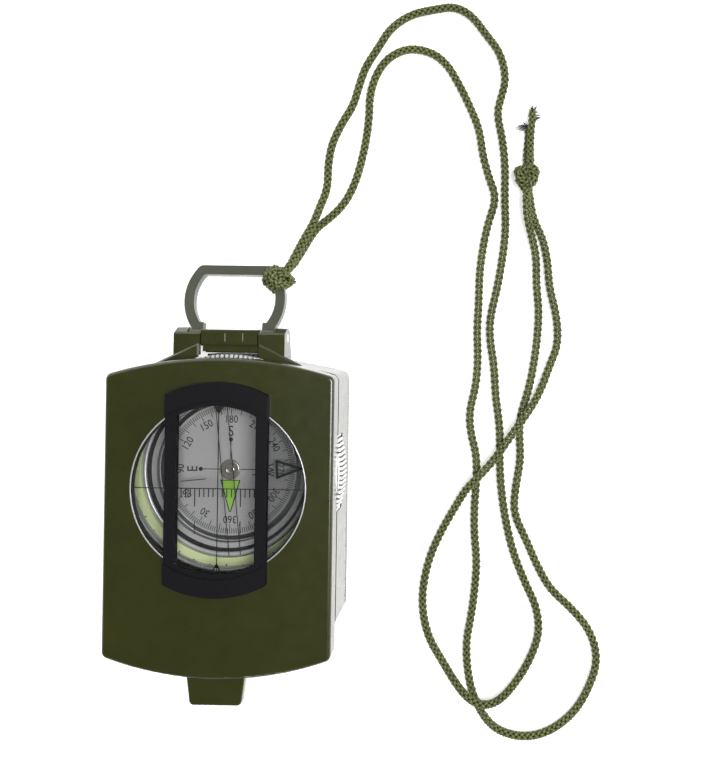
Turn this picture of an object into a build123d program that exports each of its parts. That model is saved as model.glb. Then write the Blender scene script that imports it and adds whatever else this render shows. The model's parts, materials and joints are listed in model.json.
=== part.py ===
from build123d import *
import math
import os

# A folding sighting compass with its lanyard. Millimetres, +Z up, the object lies on its bottom cover.
# The origin is on the underside, below the dial's axis. +Y points to the thumb ring, +X to the ruled side.

# Rotating bezel: everything round is built inwards from its rim
BEZEL_R = 33.3
BEZEL_BAND = 4.8  # width of the knurled band
BEZEL_SEAT = 3.6  # width of the flange that carries the luminous ring
BEZEL_H = 6.0
FLANGE_H = 3.9
LUME_T = 0.6
SPACER_T = 0.5
SPACER_W = 1.0
BEZEL_GLASS_T = 1.0
BEZEL_PROUD = 1.3  # how far the rim stands out of the side walls
RUN_GAP = 0.5  # air round the bezel's rim
FLOOR_GAP = 0.4  # air under the bezel
CAPSULE_GAP = 0.3  # air between bezel and capsule

# Base housing
CASE_TOP = 18.5
COVER_T = 1.2
COVER_INSET = 0.6
END_RISE = 4.2  # bow of the ring end
TAIL_RISE = 5.5  # bow of the lid hinge end
TAIL_REACH = 15.7  # from the bezel's rim to the bowed hinge end
END_SET_BACK = 1.1
CASE_CORNER_R = 2.5
SCREW_R = 1.1
SCREW_HEAD_R = 2.0
SCREW_HEAD_H = 0.9
SCREW_LEN = 6.0
SCREW_EDGE = 4.6  # screw axis from the case walls
GASKET_T = 0.4
GASKET_W = 2.0

# Capsule and dial
CUP_WALL = 3.6
CUP_FLOOR_T = 1.5
CUP_SEAT_Z = 3.0
SEAL_T = 0.4
SEAL_W = 0.9
CAPSULE_GLASS_T = 0.8
GLASS_LIP = 2.4  # width of the step in the cup for the glass
FIT = 0.1
CARD_GAP = 1.7  # air round the card
CARD_T = 0.6
CARD_Z = 13.8
MAGNET = (24.0, 5.0, 1.8)
JEWEL_R = 2.0
JEWEL_H = 1.7
JEWEL_CAP_R = 2.9
JEWEL_CAP_H = 0.8
PIVOT_R = 1.0
PIVOT_GAP = 0.15
PLUG_R = 1.6
PLUG_AT = (13.0, -9.0)
SPRING_R = 0.35

# Lid
LID_GAP = 0.5
LID_H = 6.5
LID_PLATE = 1.6
LID_WALL = 1.6
LID_INSET = 0.1
LID_FRONT = 0.2  # how far the lid's corners stop short of the case's at the ring end
LID_TAIL = 7.2  # and reach past them at the hinge end
LID_END_RISE = 4.9
LID_TAIL_RISE = 5.8
LID_EDGE_R = 1.0
LID_CORNER_R = 2.0
TAB_HALF = 8.2
TAB_TIP_HALF = 7.2
TAB_REACH = 7.3
TAB_T = 2.5
TAB_DROP = 0.5  # tab's face below the lid's face
WINDOW_R = 24.6
WINDOW_Y = -3.5
WINDOW_T = 0.9
WINDOW_LIP = 0.8
WINDOW_SEAL_T = 0.2
FRAME_R = 29.6
FRAME_RIM = 6.5
FRAME_HALF = 14.1
FRAME_BAR = 3.15
FRAME_H = 2.5
FRAME_STEP = 0.4  # the bars over the glass are this much lower than the ends
FRAME_SCREW_R = 0.8
FRAME_SCREW_AT = (7.0, 26.6)

# Lid hinge
LID_PIN_OUT = 9.0  # pin axis outside the corner of the hinge end
LID_PIN_DROP = 3.5  # and below the case top
KNUCKLE_R = 3.0
KNUCKLE_HALF = 7.9
LUG_GAP = 0.3
LID_LUG_W = 5.6
PIN_R = 1.3
PIN_GAP = 0.05

# Ring end hinge: eyepiece and thumb ring turn on one pin
PIN_OUT = 5.1  # pin axis outside the bezel's rim
PIN_DROP = 4.7
BLOCK_HALF = 8.1
BLOCK_T = 4.5
BLOCK_UP = 3.8
APRON = (1.9, 2.3)  # reach and height of the ledge above the lens holder
NUB_UP = 0.5
NUB_T = 2.4
NUBS = ((-3.9, -1.2), (0.7, 3.9))
EYE_GAP = 0.5  # eyepiece to ring foot
FOOT_W = 3.7
FOOT_GAP = 0.3
EAR_W = 3.4
EAR_R = 2.8
HOOD_T = 0.9
HOOD_REACH = 1.5
EAR_STEP = 0.9  # ear top below the case top
EAR_BEVEL = 0.6
HOLDER_T = 3.5
HOLDER_OUT = 4.5
HOLDER_HALF = 8.0
HOLDER_BOTTOM = 0.9
LENS_R = 4.4
LENS_T = 2.2
LENS_RING_W = 0.8
LENS_RING_T = 0.5
NOTCH = (1.2, 1.0)
HOLDER_SCREW_X = 5.2
HOLDER_SCREW_R = 0.7
GUSSET_OUT = 4.4
GUSSET_GAP = 0.8  # eyepiece to gusset
GUSSET_WIDE = 21.0
GUSSET_TIP = 1.4  # how far its outer tip stays behind the bowed end
GUSSET_DEPTH = 6.0
GUSSET_T = 1.5
GUSSET_BEVEL = 0.5
SILL_GAP = 0.4  # lens holder to the ledge below the bezel

# Thumb ring
RING_R = 14.75
RING_OUT = 11.1  # centre of its circle from the pin
RING_FLAT = 21.3
RING_CORNER = (1.8, 1.0)  # outer and inner corner radii beside the flat
RING_BAND = 2.8
RING_T = 2.4
RING_EYE_R = 2.6
RING_DROOP = 10.0

# Lanyard
CORD_D = 2.5
HITCH_SIZE = (9.6, 9.0, 6.6)
HITCH_AT = (11.9, 17.3)
HITCH_GAP = 0.15
END_KNOT = (4.1, 3.6)  # radius and half height
END_KNOT_AT = (85.5, 88.5)

# Worked-out places
HALF_W = BEZEL_R - BEZEL_PROUD
CASE_END = BEZEL_R - END_SET_BACK - END_RISE
CASE_TAIL = -(BEZEL_R + TAIL_REACH - TAIL_RISE)
POCKET_R = BEZEL_R + RUN_GAP
BEZEL_Z = CASE_TOP - 0.1 - BEZEL_H
POCKET_Z = BEZEL_Z - FLOOR_GAP
BAND_R = BEZEL_R - BEZEL_BAND
SEAT_R = BAND_R - BEZEL_SEAT
CUP_R = SEAT_R - CAPSULE_GAP
CUP_IN_R = CUP_R - CUP_WALL
CUP_TOP = BEZEL_Z + FLANGE_H + 0.6
CARD_R = CUP_IN_R - CARD_GAP
LID_BOTTOM = CASE_TOP + LID_GAP
LID_TOP = LID_BOTTOM + LID_H
LID_HALF = HALF_W - LID_INSET
PLATE_Z = LID_TOP - LID_PLATE
LID_PIN_Y = CASE_TAIL - LID_PIN_OUT
LID_PIN_Z = CASE_TOP - LID_PIN_DROP
PIN_Y = BEZEL_R + PIN_OUT
PIN_Z = CASE_TOP - PIN_DROP
FOOT_IN = BLOCK_HALF + EYE_GAP
EAR_IN = FOOT_IN + FOOT_W + FOOT_GAP
LID_LUG_IN = KNUCKLE_HALF + LUG_GAP
CORD_R = CORD_D / 2
LIE = CORD_R + 0.05  # height of a strand that lies on the ground

# Each strand from the hitch to the end knot; the first runs over the second wherever they cross
STRAND_OVER = [
    (15.5, 61.0, 8.3), (17.0, 65.0, 6.6), (19.0, 69.5, 5.2), (21.0, 73.5, 4.2), (22.5, 79.0, 2.2),
    (24.5, 84.5, LIE), (24.5, 91.5, LIE), (25.5, 98.0, LIE), (28.5, 104.5, LIE), (32.0, 110.0, LIE),
    (33.5, 115.5, LIE), (35.5, 122.0, LIE), (39.5, 128.0, LIE), (43.0, 134.0, LIE),
    (49.5, 138.5, LIE), (56.8, 140.0, LIE), (62.9, 141.0, LIE), (68.3, 138.1, LIE),
    (72.5, 132.5, LIE), (77.0, 127.0, LIE), (79.0, 119.0, LIE), (77.5, 113.1, LIE),
    (76.2, 108.3, LIE), (78.0, 100.5, LIE), (79.0, 92.5, LIE), (79.0, 82.0, LIE), (79.5, 72.5, LIE),
    (78.5, 63.0, LIE), (77.0, 54.0, LIE), (75.0, 45.5, LIE), (75.0, 38.5, LIE), (76.5, 30.5, LIE),
    (77.0, 21.0, LIE), (78.5, 12.0, LIE), (78.5, 2.5, LIE), (79.0, -6.5, LIE), (80.5, -16.5, LIE),
    (83.0, -26.5, LIE), (87.0, -36.0, LIE), (90.5, -43.0, LIE), (91.5, -51.0, LIE),
    (88.5, -59.5, LIE), (84.0, -66.8, LIE), (79.5, -71.2, 2.7), (75.1, -72.2, 4.2),
    (70.6, -70.8, 4.2), (66.4, -66.8, 2.7), (61.5, -59.5, LIE), (57.5, -53.0, LIE),
    (55.5, -45.0, LIE), (55.5, -37.0, LIE), (57.5, -28.0, LIE), (61.0, -20.0, LIE),
    (65.5, -12.0, 2.0), (68.5, -6.5, 4.6), (72.5, -2.5, 4.9), (76.0, 1.5, 4.9), (79.0, 5.5, 4.9),
    (82.0, 10.0, 4.7), (85.5, 15.0, 4.9), (88.5, 19.5, 4.6), (91.0, 24.0, 2.2), (93.5, 31.0, LIE),
    (96.0, 37.5, LIE), (95.5, 46.0, LIE), (93.0, 55.0, LIE), (92.5, 62.5, LIE), (91.0, 69.5, LIE),
    (88.0, 75.5, LIE), (87.0, 80.0, LIE), (86.5, 83.5, 1.7),
]
STRAND_UNDER = [
    (15.5, 61.0, 5.4), (17.5, 65.0, 3.4), (19.0, 68.5, 2.0), (21.5, 72.5, LIE), (25.5, 75.5, LIE),
    (29.5, 79.5, LIE), (32.5, 85.0, LIE), (34.5, 91.5, LIE), (36.0, 98.5, LIE), (37.0, 106.5, LIE),
    (37.0, 113.5, LIE), (39.0, 120.0, LIE), (42.5, 125.0, LIE), (48.5, 128.0, LIE),
    (55.5, 127.0, LIE), (60.5, 123.5, LIE), (64.5, 117.0, LIE), (68.0, 110.0, LIE),
    (71.0, 103.0, LIE), (72.0, 95.5, LIE), (74.0, 88.5, LIE), (76.5, 82.0, LIE), (74.0, 74.5, LIE),
    (72.5, 67.0, LIE), (71.5, 58.5, LIE), (71.5, 50.0, LIE), (71.0, 41.5, LIE), (71.5, 33.0, LIE),
    (71.0, 24.5, LIE), (69.0, 16.5, LIE), (69.5, 10.0, LIE), (71.5, 3.0, LIE), (71.5, -4.5, LIE),
    (71.0, -12.5, LIE), (71.0, -20.5, LIE), (72.0, -29.0, LIE), (71.5, -37.5, LIE),
    (70.5, -46.0, LIE), (69.0, -54.0, LIE), (69.5, -62.0, LIE), (71.0, -69.5, LIE),
    (74.5, -76.5, LIE), (79.0, -81.0, LIE), (87.0, -83.0, LIE), (95.0, -81.0, LIE),
    (102.5, -75.0, LIE), (107.0, -67.0, LIE), (109.5, -58.5, LIE), (107.0, -50.0, LIE),
    (101.5, -43.5, LIE), (94.5, -37.5, LIE), (90.5, -30.5, LIE), (87.0, -22.5, LIE),
    (83.0, -14.5, LIE), (83.5, -6.5, LIE), (85.0, 2.0, LIE), (84.5, 9.0, LIE), (84.5, 15.0, LIE),
    (87.0, 23.0, LIE), (88.5, 30.5, LIE), (89.5, 38.5, LIE), (90.0, 47.5, LIE), (89.0, 56.0, LIE),
    (89.0, 64.0, LIE), (87.5, 70.0, 2.2), (86.0, 75.0, 4.2), (85.5, 79.0, 4.6), (85.5, 82.5, 4.6),
]
TAIL_LONG = [
    (86.5, 93, 4.8), (86.5, 97, 4.0), (86.5, 101.5, 4.0), (87, 105.5, 3.6),
    (87, 108.5, 2.6),
]
TAIL_SHORT = [
    (85.5, 93.5, 1.9), (85.5, 96.5, LIE), (86, 100, LIE), (86, 104, LIE),
]


def disc(radius, low, high, at=(0.0, 0.0)):
    """Upright cylinder between two heights."""
    base = Pos(at[0], at[1], low)
    return base * Cylinder(radius, high - low, align=(Align.CENTER, Align.CENTER, Align.MIN))


def band(outer, inner, low, high, at=(0.0, 0.0)):
    """Upright ring between two heights."""
    return disc(outer, low, high, at) - disc(inner, low - 1, high + 1, at)


def block(x, y, z):
    """Box between pairs of low and high values."""
    corner = Pos(x[0], y[0], z[0])
    return corner * Box(x[1] - x[0], y[1] - y[0], z[1] - z[0], align=(Align.MIN, Align.MIN, Align.MIN))


def bar(radius, x, y, z):
    """Cylinder along X between two places."""
    middle = Pos((x[0] + x[1]) / 2, y, z)
    return middle * Rot(0, 90, 0) * Cylinder(radius, x[1] - x[0])


def rod(radius, x, y, z):
    """Cylinder along Y between two places."""
    middle = Pos(x, (y[0] + y[1]) / 2, z)
    return middle * Rot(90, 0, 0) * Cylinder(radius, y[1] - y[0])


def slab(face, low, high):
    """Plan outline raised between two heights."""
    return extrude(Pos(0, 0, low) * face, high - low)


def both_sides(solid):
    """A piece and its mirror image across the middle plane."""
    return solid + mirror(solid, about=Plane.YZ)


def bowed_outline(half, front, tail, front_rise, tail_rise, corner):
    """Plan outline with straight sides and bowed ends."""
    edges = [
        Line((half, tail), (half, front)),
        ThreePointArc((half, front), (0, front + front_rise), (-half, front)),
        Line((-half, front), (-half, tail)),
        ThreePointArc((-half, tail), (0, tail - tail_rise), (half, tail)),
    ]
    face = make_face(edges)
    return fillet(face.vertices(), corner)


def case_outline(inset=0.0):
    return bowed_outline(
        HALF_W - inset, CASE_END - inset, CASE_TAIL + inset, END_RISE, TAIL_RISE, CASE_CORNER_R
    )


def lid_outline(inset=0.0):
    return bowed_outline(
        LID_HALF - inset,
        CASE_END - LID_FRONT - inset,
        CASE_TAIL - LID_TAIL + inset,
        LID_END_RISE,
        LID_TAIL_RISE,
        LID_CORNER_R,
    )


def cover_screw_places():
    x = HALF_W - SCREW_EDGE
    return [
        (x, CASE_END - SCREW_EDGE),
        (-x, CASE_END - SCREW_EDGE),
        (-x, CASE_TAIL + SCREW_EDGE),
        (x, CASE_TAIL + SCREW_EDGE),
    ]


def gusset():
    """Tapered shelf beside the eyepiece, on one side."""
    end, inner = BEZEL_R - END_SET_BACK, BLOCK_HALF + GUSSET_GAP
    shape = Polyline(
        (inner, end - GUSSET_DEPTH),
        (inner, end + GUSSET_OUT),
        (GUSSET_WIDE, end - GUSSET_TIP),
        (GUSSET_WIDE, end - GUSSET_DEPTH),
        close=True,
    )
    shelf = slab(make_face(shape), CASE_TOP - GUSSET_T, CASE_TOP)
    rim = shelf.faces().sort_by(Axis.Z)[-1].edges().sort_by(Axis.Y)[-1]
    return chamfer(rim, GUSSET_BEVEL)


def sill():
    """Ledge that closes the gap between case and eyepiece below the bezel."""
    back, front, lens_z = holder_faces()
    return block((-BLOCK_HALF, BLOCK_HALF), (CASE_END, back - SILL_GAP), (COVER_T, POCKET_Z - FIT))


def ring_ear():
    """Lug for the ring end pin, with the hood over the ring's foot, on one side."""
    out = EAR_IN + EAR_W
    top, root, tip = CASE_TOP - EAR_STEP, BEZEL_R - 5, PIN_Y + HOOD_REACH
    cheek = (PIN_Y + EAR_R * 0.8, PIN_Z + EAR_R * 0.6)
    profile = Polyline(
        cheek, (tip, top - HOOD_T), (tip, top - EAR_BEVEL), (tip - EAR_BEVEL, top), (root, top),
        (root, PIN_Z - EAR_R - 3), (PIN_Y, PIN_Z - EAR_R),
    )
    nose = ThreePointArc(cheek, (PIN_Y + EAR_R, PIN_Z), (PIN_Y, PIN_Z - EAR_R))
    side = Plane(origin=(EAR_IN, 0, 0), x_dir=(0, 1, 0), z_dir=(1, 0, 0))
    lug = extrude(side * make_face([*profile.edges(), nose]), EAR_W)
    hood = block((FOOT_IN - 0.2, EAR_IN), (BEZEL_R, tip), (top - HOOD_T, top))
    hood = chamfer(hood.edges().filter_by(Axis.X).group_by(Axis.Z)[-1].sort_by(Axis.Y)[-1:], EAR_BEVEL)
    return lug + hood - bar(PIN_R, (EAR_IN - 1, out + 1), PIN_Y, PIN_Z)


def lid_lug():
    """Lug for the lid's pin under the overhang, on one side."""
    x = (LID_LUG_IN, LID_LUG_IN + LID_LUG_W)
    lug = bar(KNUCKLE_R, x, LID_PIN_Y, LID_PIN_Z)
    lug += block(x, (LID_PIN_Y, CASE_TAIL - TAIL_RISE + 2), (LID_PIN_Z - KNUCKLE_R, LID_PIN_Z + KNUCKLE_R))
    return lug - bar(PIN_R, (x[0] - 1, x[1] + 1), LID_PIN_Y, LID_PIN_Z)


def base_housing():
    body = slab(case_outline(), COVER_T, CASE_TOP)
    body += both_sides(gusset()) + sill()
    body -= disc(POCKET_R, POCKET_Z, CASE_TOP + 1)
    body += both_sides(ring_ear() - disc(POCKET_R, POCKET_Z, CASE_TOP + 1))
    body += both_sides(lid_lug())
    body -= disc(CUP_R + FIT, CUP_SEAT_Z, CASE_TOP + 1)
    body -= band(CUP_R + 4.2, CUP_R + 3.0, POCKET_Z - 1.0, CASE_TOP)
    for place in cover_screw_places():
        body -= disc(SCREW_R, 0, COVER_T + SCREW_LEN, place)
    gasket = case_outline(COVER_INSET + 3) - case_outline(COVER_INSET + 3 + GASKET_W)
    body -= slab(gasket, COVER_T - 1, COVER_T + GASKET_T)
    return body


def cover_gasket():
    face = case_outline(COVER_INSET + 3) - case_outline(COVER_INSET + 3 + GASKET_W)
    seal = slab(face, COVER_T, COVER_T + GASKET_T)
    for place in cover_screw_places():
        seal -= disc(SCREW_R + 0.3, 0, COVER_T + 2, place)
    return seal


def bottom_cover():
    cover = slab(case_outline(COVER_INSET), 0, COVER_T)
    cover = chamfer(cover.faces().sort_by(Axis.Z)[0].outer_wire().edges(), 0.3)
    for place in cover_screw_places():
        cover -= disc(SCREW_R, -1, COVER_T + 1, place)
        cover -= disc(SCREW_HEAD_R, -1, SCREW_HEAD_H, place)
    return cover


def cover_screw(place):
    screw = disc(SCREW_HEAD_R, 0.1, SCREW_HEAD_H, place) + disc(SCREW_R, 0.1, COVER_T + SCREW_LEN, place)
    slot = Pos(place[0], place[1], 0) * Rot(0, 0, 35) * Box(2 * SCREW_HEAD_R + 1, 0.6, 0.9)
    return screw - slot


def capsule_cup():
    cup = disc(CUP_R, CUP_SEAT_Z, CUP_TOP)
    cup -= disc(CUP_IN_R, CUP_SEAT_Z + CUP_FLOOR_T, CUP_TOP + 1)
    cup -= disc(CUP_IN_R + GLASS_LIP, CUP_TOP - CAPSULE_GLASS_T - SEAL_T, CUP_TOP + 1)
    cup -= disc(PIVOT_R, 0, CUP_SEAT_Z + CUP_FLOOR_T + 1)
    return cup - disc(PLUG_R, 0, CUP_SEAT_Z + CUP_FLOOR_T + 1, PLUG_AT)


def capsule_seal():
    low = CUP_TOP - CAPSULE_GLASS_T - SEAL_T
    return band(CUP_IN_R + GLASS_LIP, CUP_IN_R + GLASS_LIP - SEAL_W, low, low + SEAL_T)


def capsule_glass():
    return disc(CUP_IN_R + GLASS_LIP - FIT, CUP_TOP - CAPSULE_GLASS_T, CUP_TOP)


def filler_plug():
    return disc(PLUG_R, CUP_SEAT_Z, CUP_SEAT_Z + CUP_FLOOR_T + 0.4, PLUG_AT)


def pivot_post():
    """Post with a sharp tip that carries the dial's jewel."""
    tip = CARD_Z - PIVOT_GAP - 0.4
    cone_h = 1.6
    post = disc(PIVOT_R, CUP_SEAT_Z, tip - cone_h)
    point = Pos(0, 0, tip - cone_h / 2) * Cone(PIVOT_R, 0.08, cone_h)
    return post + point


def click_spring():
    """Wire ring under the bezel that holds it where it is set."""
    path_r = CUP_R + 3.6
    return Pos(0, 0, POCKET_Z - 0.5) * Torus(path_r, SPRING_R)


def dial_card():
    card = disc(CARD_R, CARD_Z, CARD_Z + CARD_T)
    return card - disc(JEWEL_R - 0.6, CARD_Z - 1, CARD_Z + 1)


def pivot_jewel():
    """Cup that turns on the post's tip."""
    jewel = disc(JEWEL_R, CARD_Z - JEWEL_H, CARD_Z)
    jewel += disc(JEWEL_R - 0.6, CARD_Z, CARD_Z + CARD_T)
    hollow = Pos(0, 0, CARD_Z - JEWEL_H - 0.01)
    lift = Pos(0, 0, JEWEL_H / 2)
    return jewel - hollow * lift * Cone(PIVOT_R + 0.35, 0.2, JEWEL_H)


def dial_magnet():
    long, wide, thick = MAGNET
    bar_magnet = block((-wide / 2, wide / 2), (-long / 2, long / 2), (CARD_Z - thick, CARD_Z))
    return bar_magnet - disc(JEWEL_R, CARD_Z - 5, CARD_Z + 1)


def jewel_cap():
    cap = disc(JEWEL_CAP_R, CARD_Z + CARD_T, CARD_Z + CARD_T + JEWEL_CAP_H)
    return fillet(cap.faces().sort_by(Axis.Z)[-1].edges(), 0.35)


def bezel_ring():
    ring = band(BEZEL_R, BAND_R, BEZEL_Z, BEZEL_Z + BEZEL_H)
    ring += band(BAND_R, SEAT_R, BEZEL_Z, BEZEL_Z + FLANGE_H)
    rims = ring.edges().filter_by(GeomType.CIRCLE).filter_by(lambda e: abs(e.radius - BEZEL_R) < 0.01)
    return chamfer(rims, 0.4)


def luminous_ring():
    low = BEZEL_Z + FLANGE_H
    return band(BAND_R - FIT, SEAT_R + FIT, low, low + LUME_T)


def glass_spacer():
    low = BEZEL_Z + FLANGE_H + LUME_T
    return band(BAND_R - FIT, BAND_R - FIT - SPACER_W, low, low + SPACER_T)


def bezel_glass():
    low = BEZEL_Z + FLANGE_H + LUME_T + SPACER_T
    return disc(BAND_R - FIT, low, low + BEZEL_GLASS_T)


def lid_tab():
    """Finger tab at the hinge end."""
    root = CASE_TAIL - LID_TAIL - LID_TAIL_RISE
    tip = root - TAB_REACH
    shape = make_face(
        Polyline(
            (TAB_HALF, root + 1.2),
            (TAB_TIP_HALF, tip),
            (-TAB_TIP_HALF, tip),
            (-TAB_HALF, root + 1.2),
            close=True,
        )
    )
    corners = shape.vertices().group_by(Axis.Y)[0]
    top = LID_TOP - TAB_DROP
    tab = slab(fillet(corners, 1.4), top - TAB_T, top)
    return fillet(tab.faces().sort_by(Axis.Z)[-1].edges().sort_by(Axis.Y)[:-1], 0.5)


def lid_shell():
    lid = slab(lid_outline(), LID_BOTTOM, LID_TOP)
    lid = fillet(lid.faces().sort_by(Axis.Z)[-1].edges(), LID_EDGE_R)
    lid -= slab(lid_outline(LID_WALL), LID_BOTTOM - 1, PLATE_Z)
    lid += lid_tab()
    knuckle = (-KNUCKLE_HALF, KNUCKLE_HALF)
    lid += bar(KNUCKLE_R, knuckle, LID_PIN_Y, LID_PIN_Z)
    lid += block(knuckle, (LID_PIN_Y - 1.6, LID_PIN_Y + 1.6), (LID_PIN_Z, PLATE_Z + 0.4))
    lid -= bar(PIN_R + PIN_GAP, (-KNUCKLE_HALF - 1, KNUCKLE_HALF + 1), LID_PIN_Y, LID_PIN_Z)
    centre = (0, WINDOW_Y)
    lid -= disc(WINDOW_R - WINDOW_LIP, LID_BOTTOM, LID_TOP + 1, centre)
    lid -= disc(WINDOW_R, LID_TOP - 0.1 - WINDOW_T - WINDOW_SEAL_T, LID_TOP + 1, centre)
    for place in frame_screw_places():
        lid -= disc(FRAME_SCREW_R, PLATE_Z - 1, LID_TOP + 1, place)
    return lid


def window_seal():
    low = LID_TOP - 0.1 - WINDOW_T - WINDOW_SEAL_T
    return band(WINDOW_R, WINDOW_R - WINDOW_LIP, low, low + WINDOW_SEAL_T, (0, WINDOW_Y))


def lid_window():
    return disc(WINDOW_R - 0.05, LID_TOP - 0.1 - WINDOW_T, LID_TOP - 0.1, (0, WINDOW_Y))


def frame_screw_places():
    x, y = FRAME_SCREW_AT
    return [(sx * x, WINDOW_Y + sy * y) for sx in (1, -1) for sy in (1, -1)]


def sight_frame():
    """Raised frame over the window: two bars joined by bowed ends."""
    centre = Pos(0, WINDOW_Y)
    outer = Circle(FRAME_R) & Rectangle(2 * FRAME_HALF, 3 * FRAME_R)
    inner_half = FRAME_HALF - FRAME_BAR
    inner = Circle(FRAME_R - FRAME_RIM) & Rectangle(2 * inner_half, 3 * FRAME_R)
    frame = slab(centre * (outer - inner), LID_TOP, LID_TOP + FRAME_H)
    frame -= disc(WINDOW_R, LID_TOP + FRAME_H - FRAME_STEP, LID_TOP + FRAME_H + 1, (0, WINDOW_Y))
    for place in frame_screw_places():
        frame -= disc(FRAME_SCREW_R, LID_TOP - 1, LID_TOP + 1.5, place)
    return frame


def frame_screw(place):
    shank = disc(FRAME_SCREW_R, PLATE_Z - 0.1, LID_TOP + 1.5, place)
    head = disc(FRAME_SCREW_R * 2, PLATE_Z - 0.8, PLATE_Z, place)
    slot = Pos(place[0], place[1], PLATE_Z - 0.8) * Rot(0, 0, 20) * Box(5, 0.4, 0.6)
    return shank + head - slot


def eyepiece_block():
    x = (-BLOCK_HALF, BLOCK_HALF)
    half = BLOCK_T / 2
    body = block(x, (PIN_Y - half, PIN_Y + half), (PIN_Z - half, PIN_Z + BLOCK_UP))
    body = fillet(body.edges().filter_by(Axis.X), 0.4)
    for low, high in NUBS:
        top = PIN_Z + BLOCK_UP
        body += block((low, high), (PIN_Y - NUB_T / 2, PIN_Y + NUB_T / 2), (top - 0.5, top + NUB_UP))
    reach, tall = APRON
    low = PIN_Z + FIT
    body += block(x, (PIN_Y - half - reach, PIN_Y - half + 0.5), (low, low + tall))
    body -= bar(PIN_R + PIN_GAP, (x[0] - 1, x[1] + 1), PIN_Y, PIN_Z)
    for sx in (1, -1):
        body -= rod(HOLDER_SCREW_R, sx * HOLDER_SCREW_X, (PIN_Y - 3, PIN_Y - 1.5), PIN_Z - 1.3)
    return body


def holder_faces():
    """The lens holder's back and front in Y, and the lens axis in Z."""
    back = PIN_Y - HOLDER_OUT
    top = PIN_Z - BLOCK_T / 2
    return back, back + HOLDER_T, (HOLDER_BOTTOM + top) / 2


def lens_holder():
    back, front, lens_z = holder_faces()
    x = (-HOLDER_HALF, HOLDER_HALF)
    top = PIN_Z - BLOCK_T / 2
    plate = block(x, (back, front), (HOLDER_BOTTOM, top))
    plate = fillet(plate.edges().filter_by(Axis.Y).group_by(Axis.Z)[0], 2.0)
    plate += block(x, (back, PIN_Y - BLOCK_T / 2), (top - 0.5, PIN_Z))
    bore_back = back + LENS_RING_T
    plate -= rod(LENS_R, 0, (bore_back, front + 1), lens_z)
    plate -= rod(LENS_R - LENS_RING_W, 0, (back - 1, bore_back + 0.1), lens_z)
    wide, deep = NOTCH
    notch_z = (HOLDER_BOTTOM - 1, HOLDER_BOTTOM + deep - 0.4)
    plate -= block((-wide / 2, wide / 2), (back - 1, front + 1), notch_z)
    for sx in (1, -1):
        screw_x = sx * HOLDER_SCREW_X
        plate -= rod(HOLDER_SCREW_R, screw_x, (back - 1, PIN_Y - 2), PIN_Z - 1.3)
        plate -= rod(HOLDER_SCREW_R * 1.7, screw_x, (back - 1, back + 0.7), PIN_Z - 1.3)
    return plate


def magnifier_lens():
    """Lens with two bowed faces that meet at its rim."""
    back, front, lens_z = holder_faces()
    low = back + LENS_RING_T
    bow = (LENS_R**2 + (LENS_T / 2) ** 2) / LENS_T
    return Pos(0, low + bow, lens_z) * Sphere(bow) & Pos(0, low + LENS_T - bow, lens_z) * Sphere(bow)


def lens_ring():
    back, front, lens_z = holder_faces()
    low = back + LENS_RING_T + LENS_T
    ring = rod(LENS_R, 0, (low, front), lens_z)
    return ring - rod(LENS_R - LENS_RING_W, 0, (low - 1, front + 1), lens_z)


def holder_screw(sx):
    back, front, lens_z = holder_faces()
    x, z = sx * HOLDER_SCREW_X, PIN_Z - 1.3
    screw = rod(HOLDER_SCREW_R, x, (back + 0.1, PIN_Y - 1.5), z)
    screw += rod(HOLDER_SCREW_R * 1.7, x, (back + 0.1, back + 0.7), z)
    return screw - Pos(x, back + 0.1, z) * Rot(0, 30, 0) * Box(3, 0.5, 0.35)


def ring_face(grow=0.0):
    """The thumb ring's flat shape; the pin is at the origin and the ring points to +Y."""
    outer = Pos(0, RING_OUT) * Circle(RING_R + grow)
    outer &= Pos(0, RING_FLAT / 2 + grow) * Rectangle(4 * RING_R, RING_FLAT)
    outer = fillet(outer.vertices().group_by(Axis.Y)[-1], RING_CORNER[0])
    inner = Pos(0, RING_OUT) * Circle(RING_R - RING_BAND - grow)
    reach = RING_FLAT - RING_BAND - grow
    inner &= Rectangle(4 * RING_R, reach, align=(Align.CENTER, Align.MIN))
    inner = fillet(inner.vertices().group_by(Axis.Y)[-1], RING_CORNER[1])
    gap = Rectangle(2 * FOOT_IN - 2 * grow, RING_EYE_R * 2 + 3)
    return outer - inner - gap


def ring_place(solid):
    """Put a piece drawn round the pin at the ring's resting droop."""
    return Pos(0, PIN_Y, PIN_Z) * Rot(-RING_DROOP, 0, 0) * solid


def thumb_ring():
    plate = extrude(ring_face(), RING_T / 2, both=True)
    feet = bar(RING_EYE_R, (FOOT_IN, FOOT_IN + FOOT_W), 0, 0)
    arm = block((FOOT_IN, FOOT_IN + FOOT_W - 0.4), (0, RING_EYE_R + 1.6), (-RING_T / 2, RING_T / 2))
    plate -= block((-RING_R, RING_R), (-9, 0.5), (-RING_T, RING_T))
    ring = plate + both_sides(feet + arm)
    ring -= both_sides(block((FOOT_IN + FOOT_W, 30), (-9, RING_EYE_R + 0.4), (-9, 9)))
    ring -= bar(PIN_R + PIN_GAP, (-30, 30), 0, 0)
    return ring_place(ring)


def cord_hitch():
    """The hitch that holds the doubled cord to the ring's corner."""
    long, wide, high = HITCH_SIZE
    lump = Sphere(0.5)
    lump = scale(lump, by=(long, wide, high))
    hole = extrude(ring_face(HITCH_GAP), RING_T / 2 + HITCH_GAP, both=True)
    return ring_place(Pos(HITCH_AT[0], HITCH_AT[1]) * Rot(0, 0, -40) * lump - hole)


def ring_pin():
    out = EAR_IN + EAR_W
    pin = bar(PIN_R, (-out, out), PIN_Y, PIN_Z)
    return pin


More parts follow.
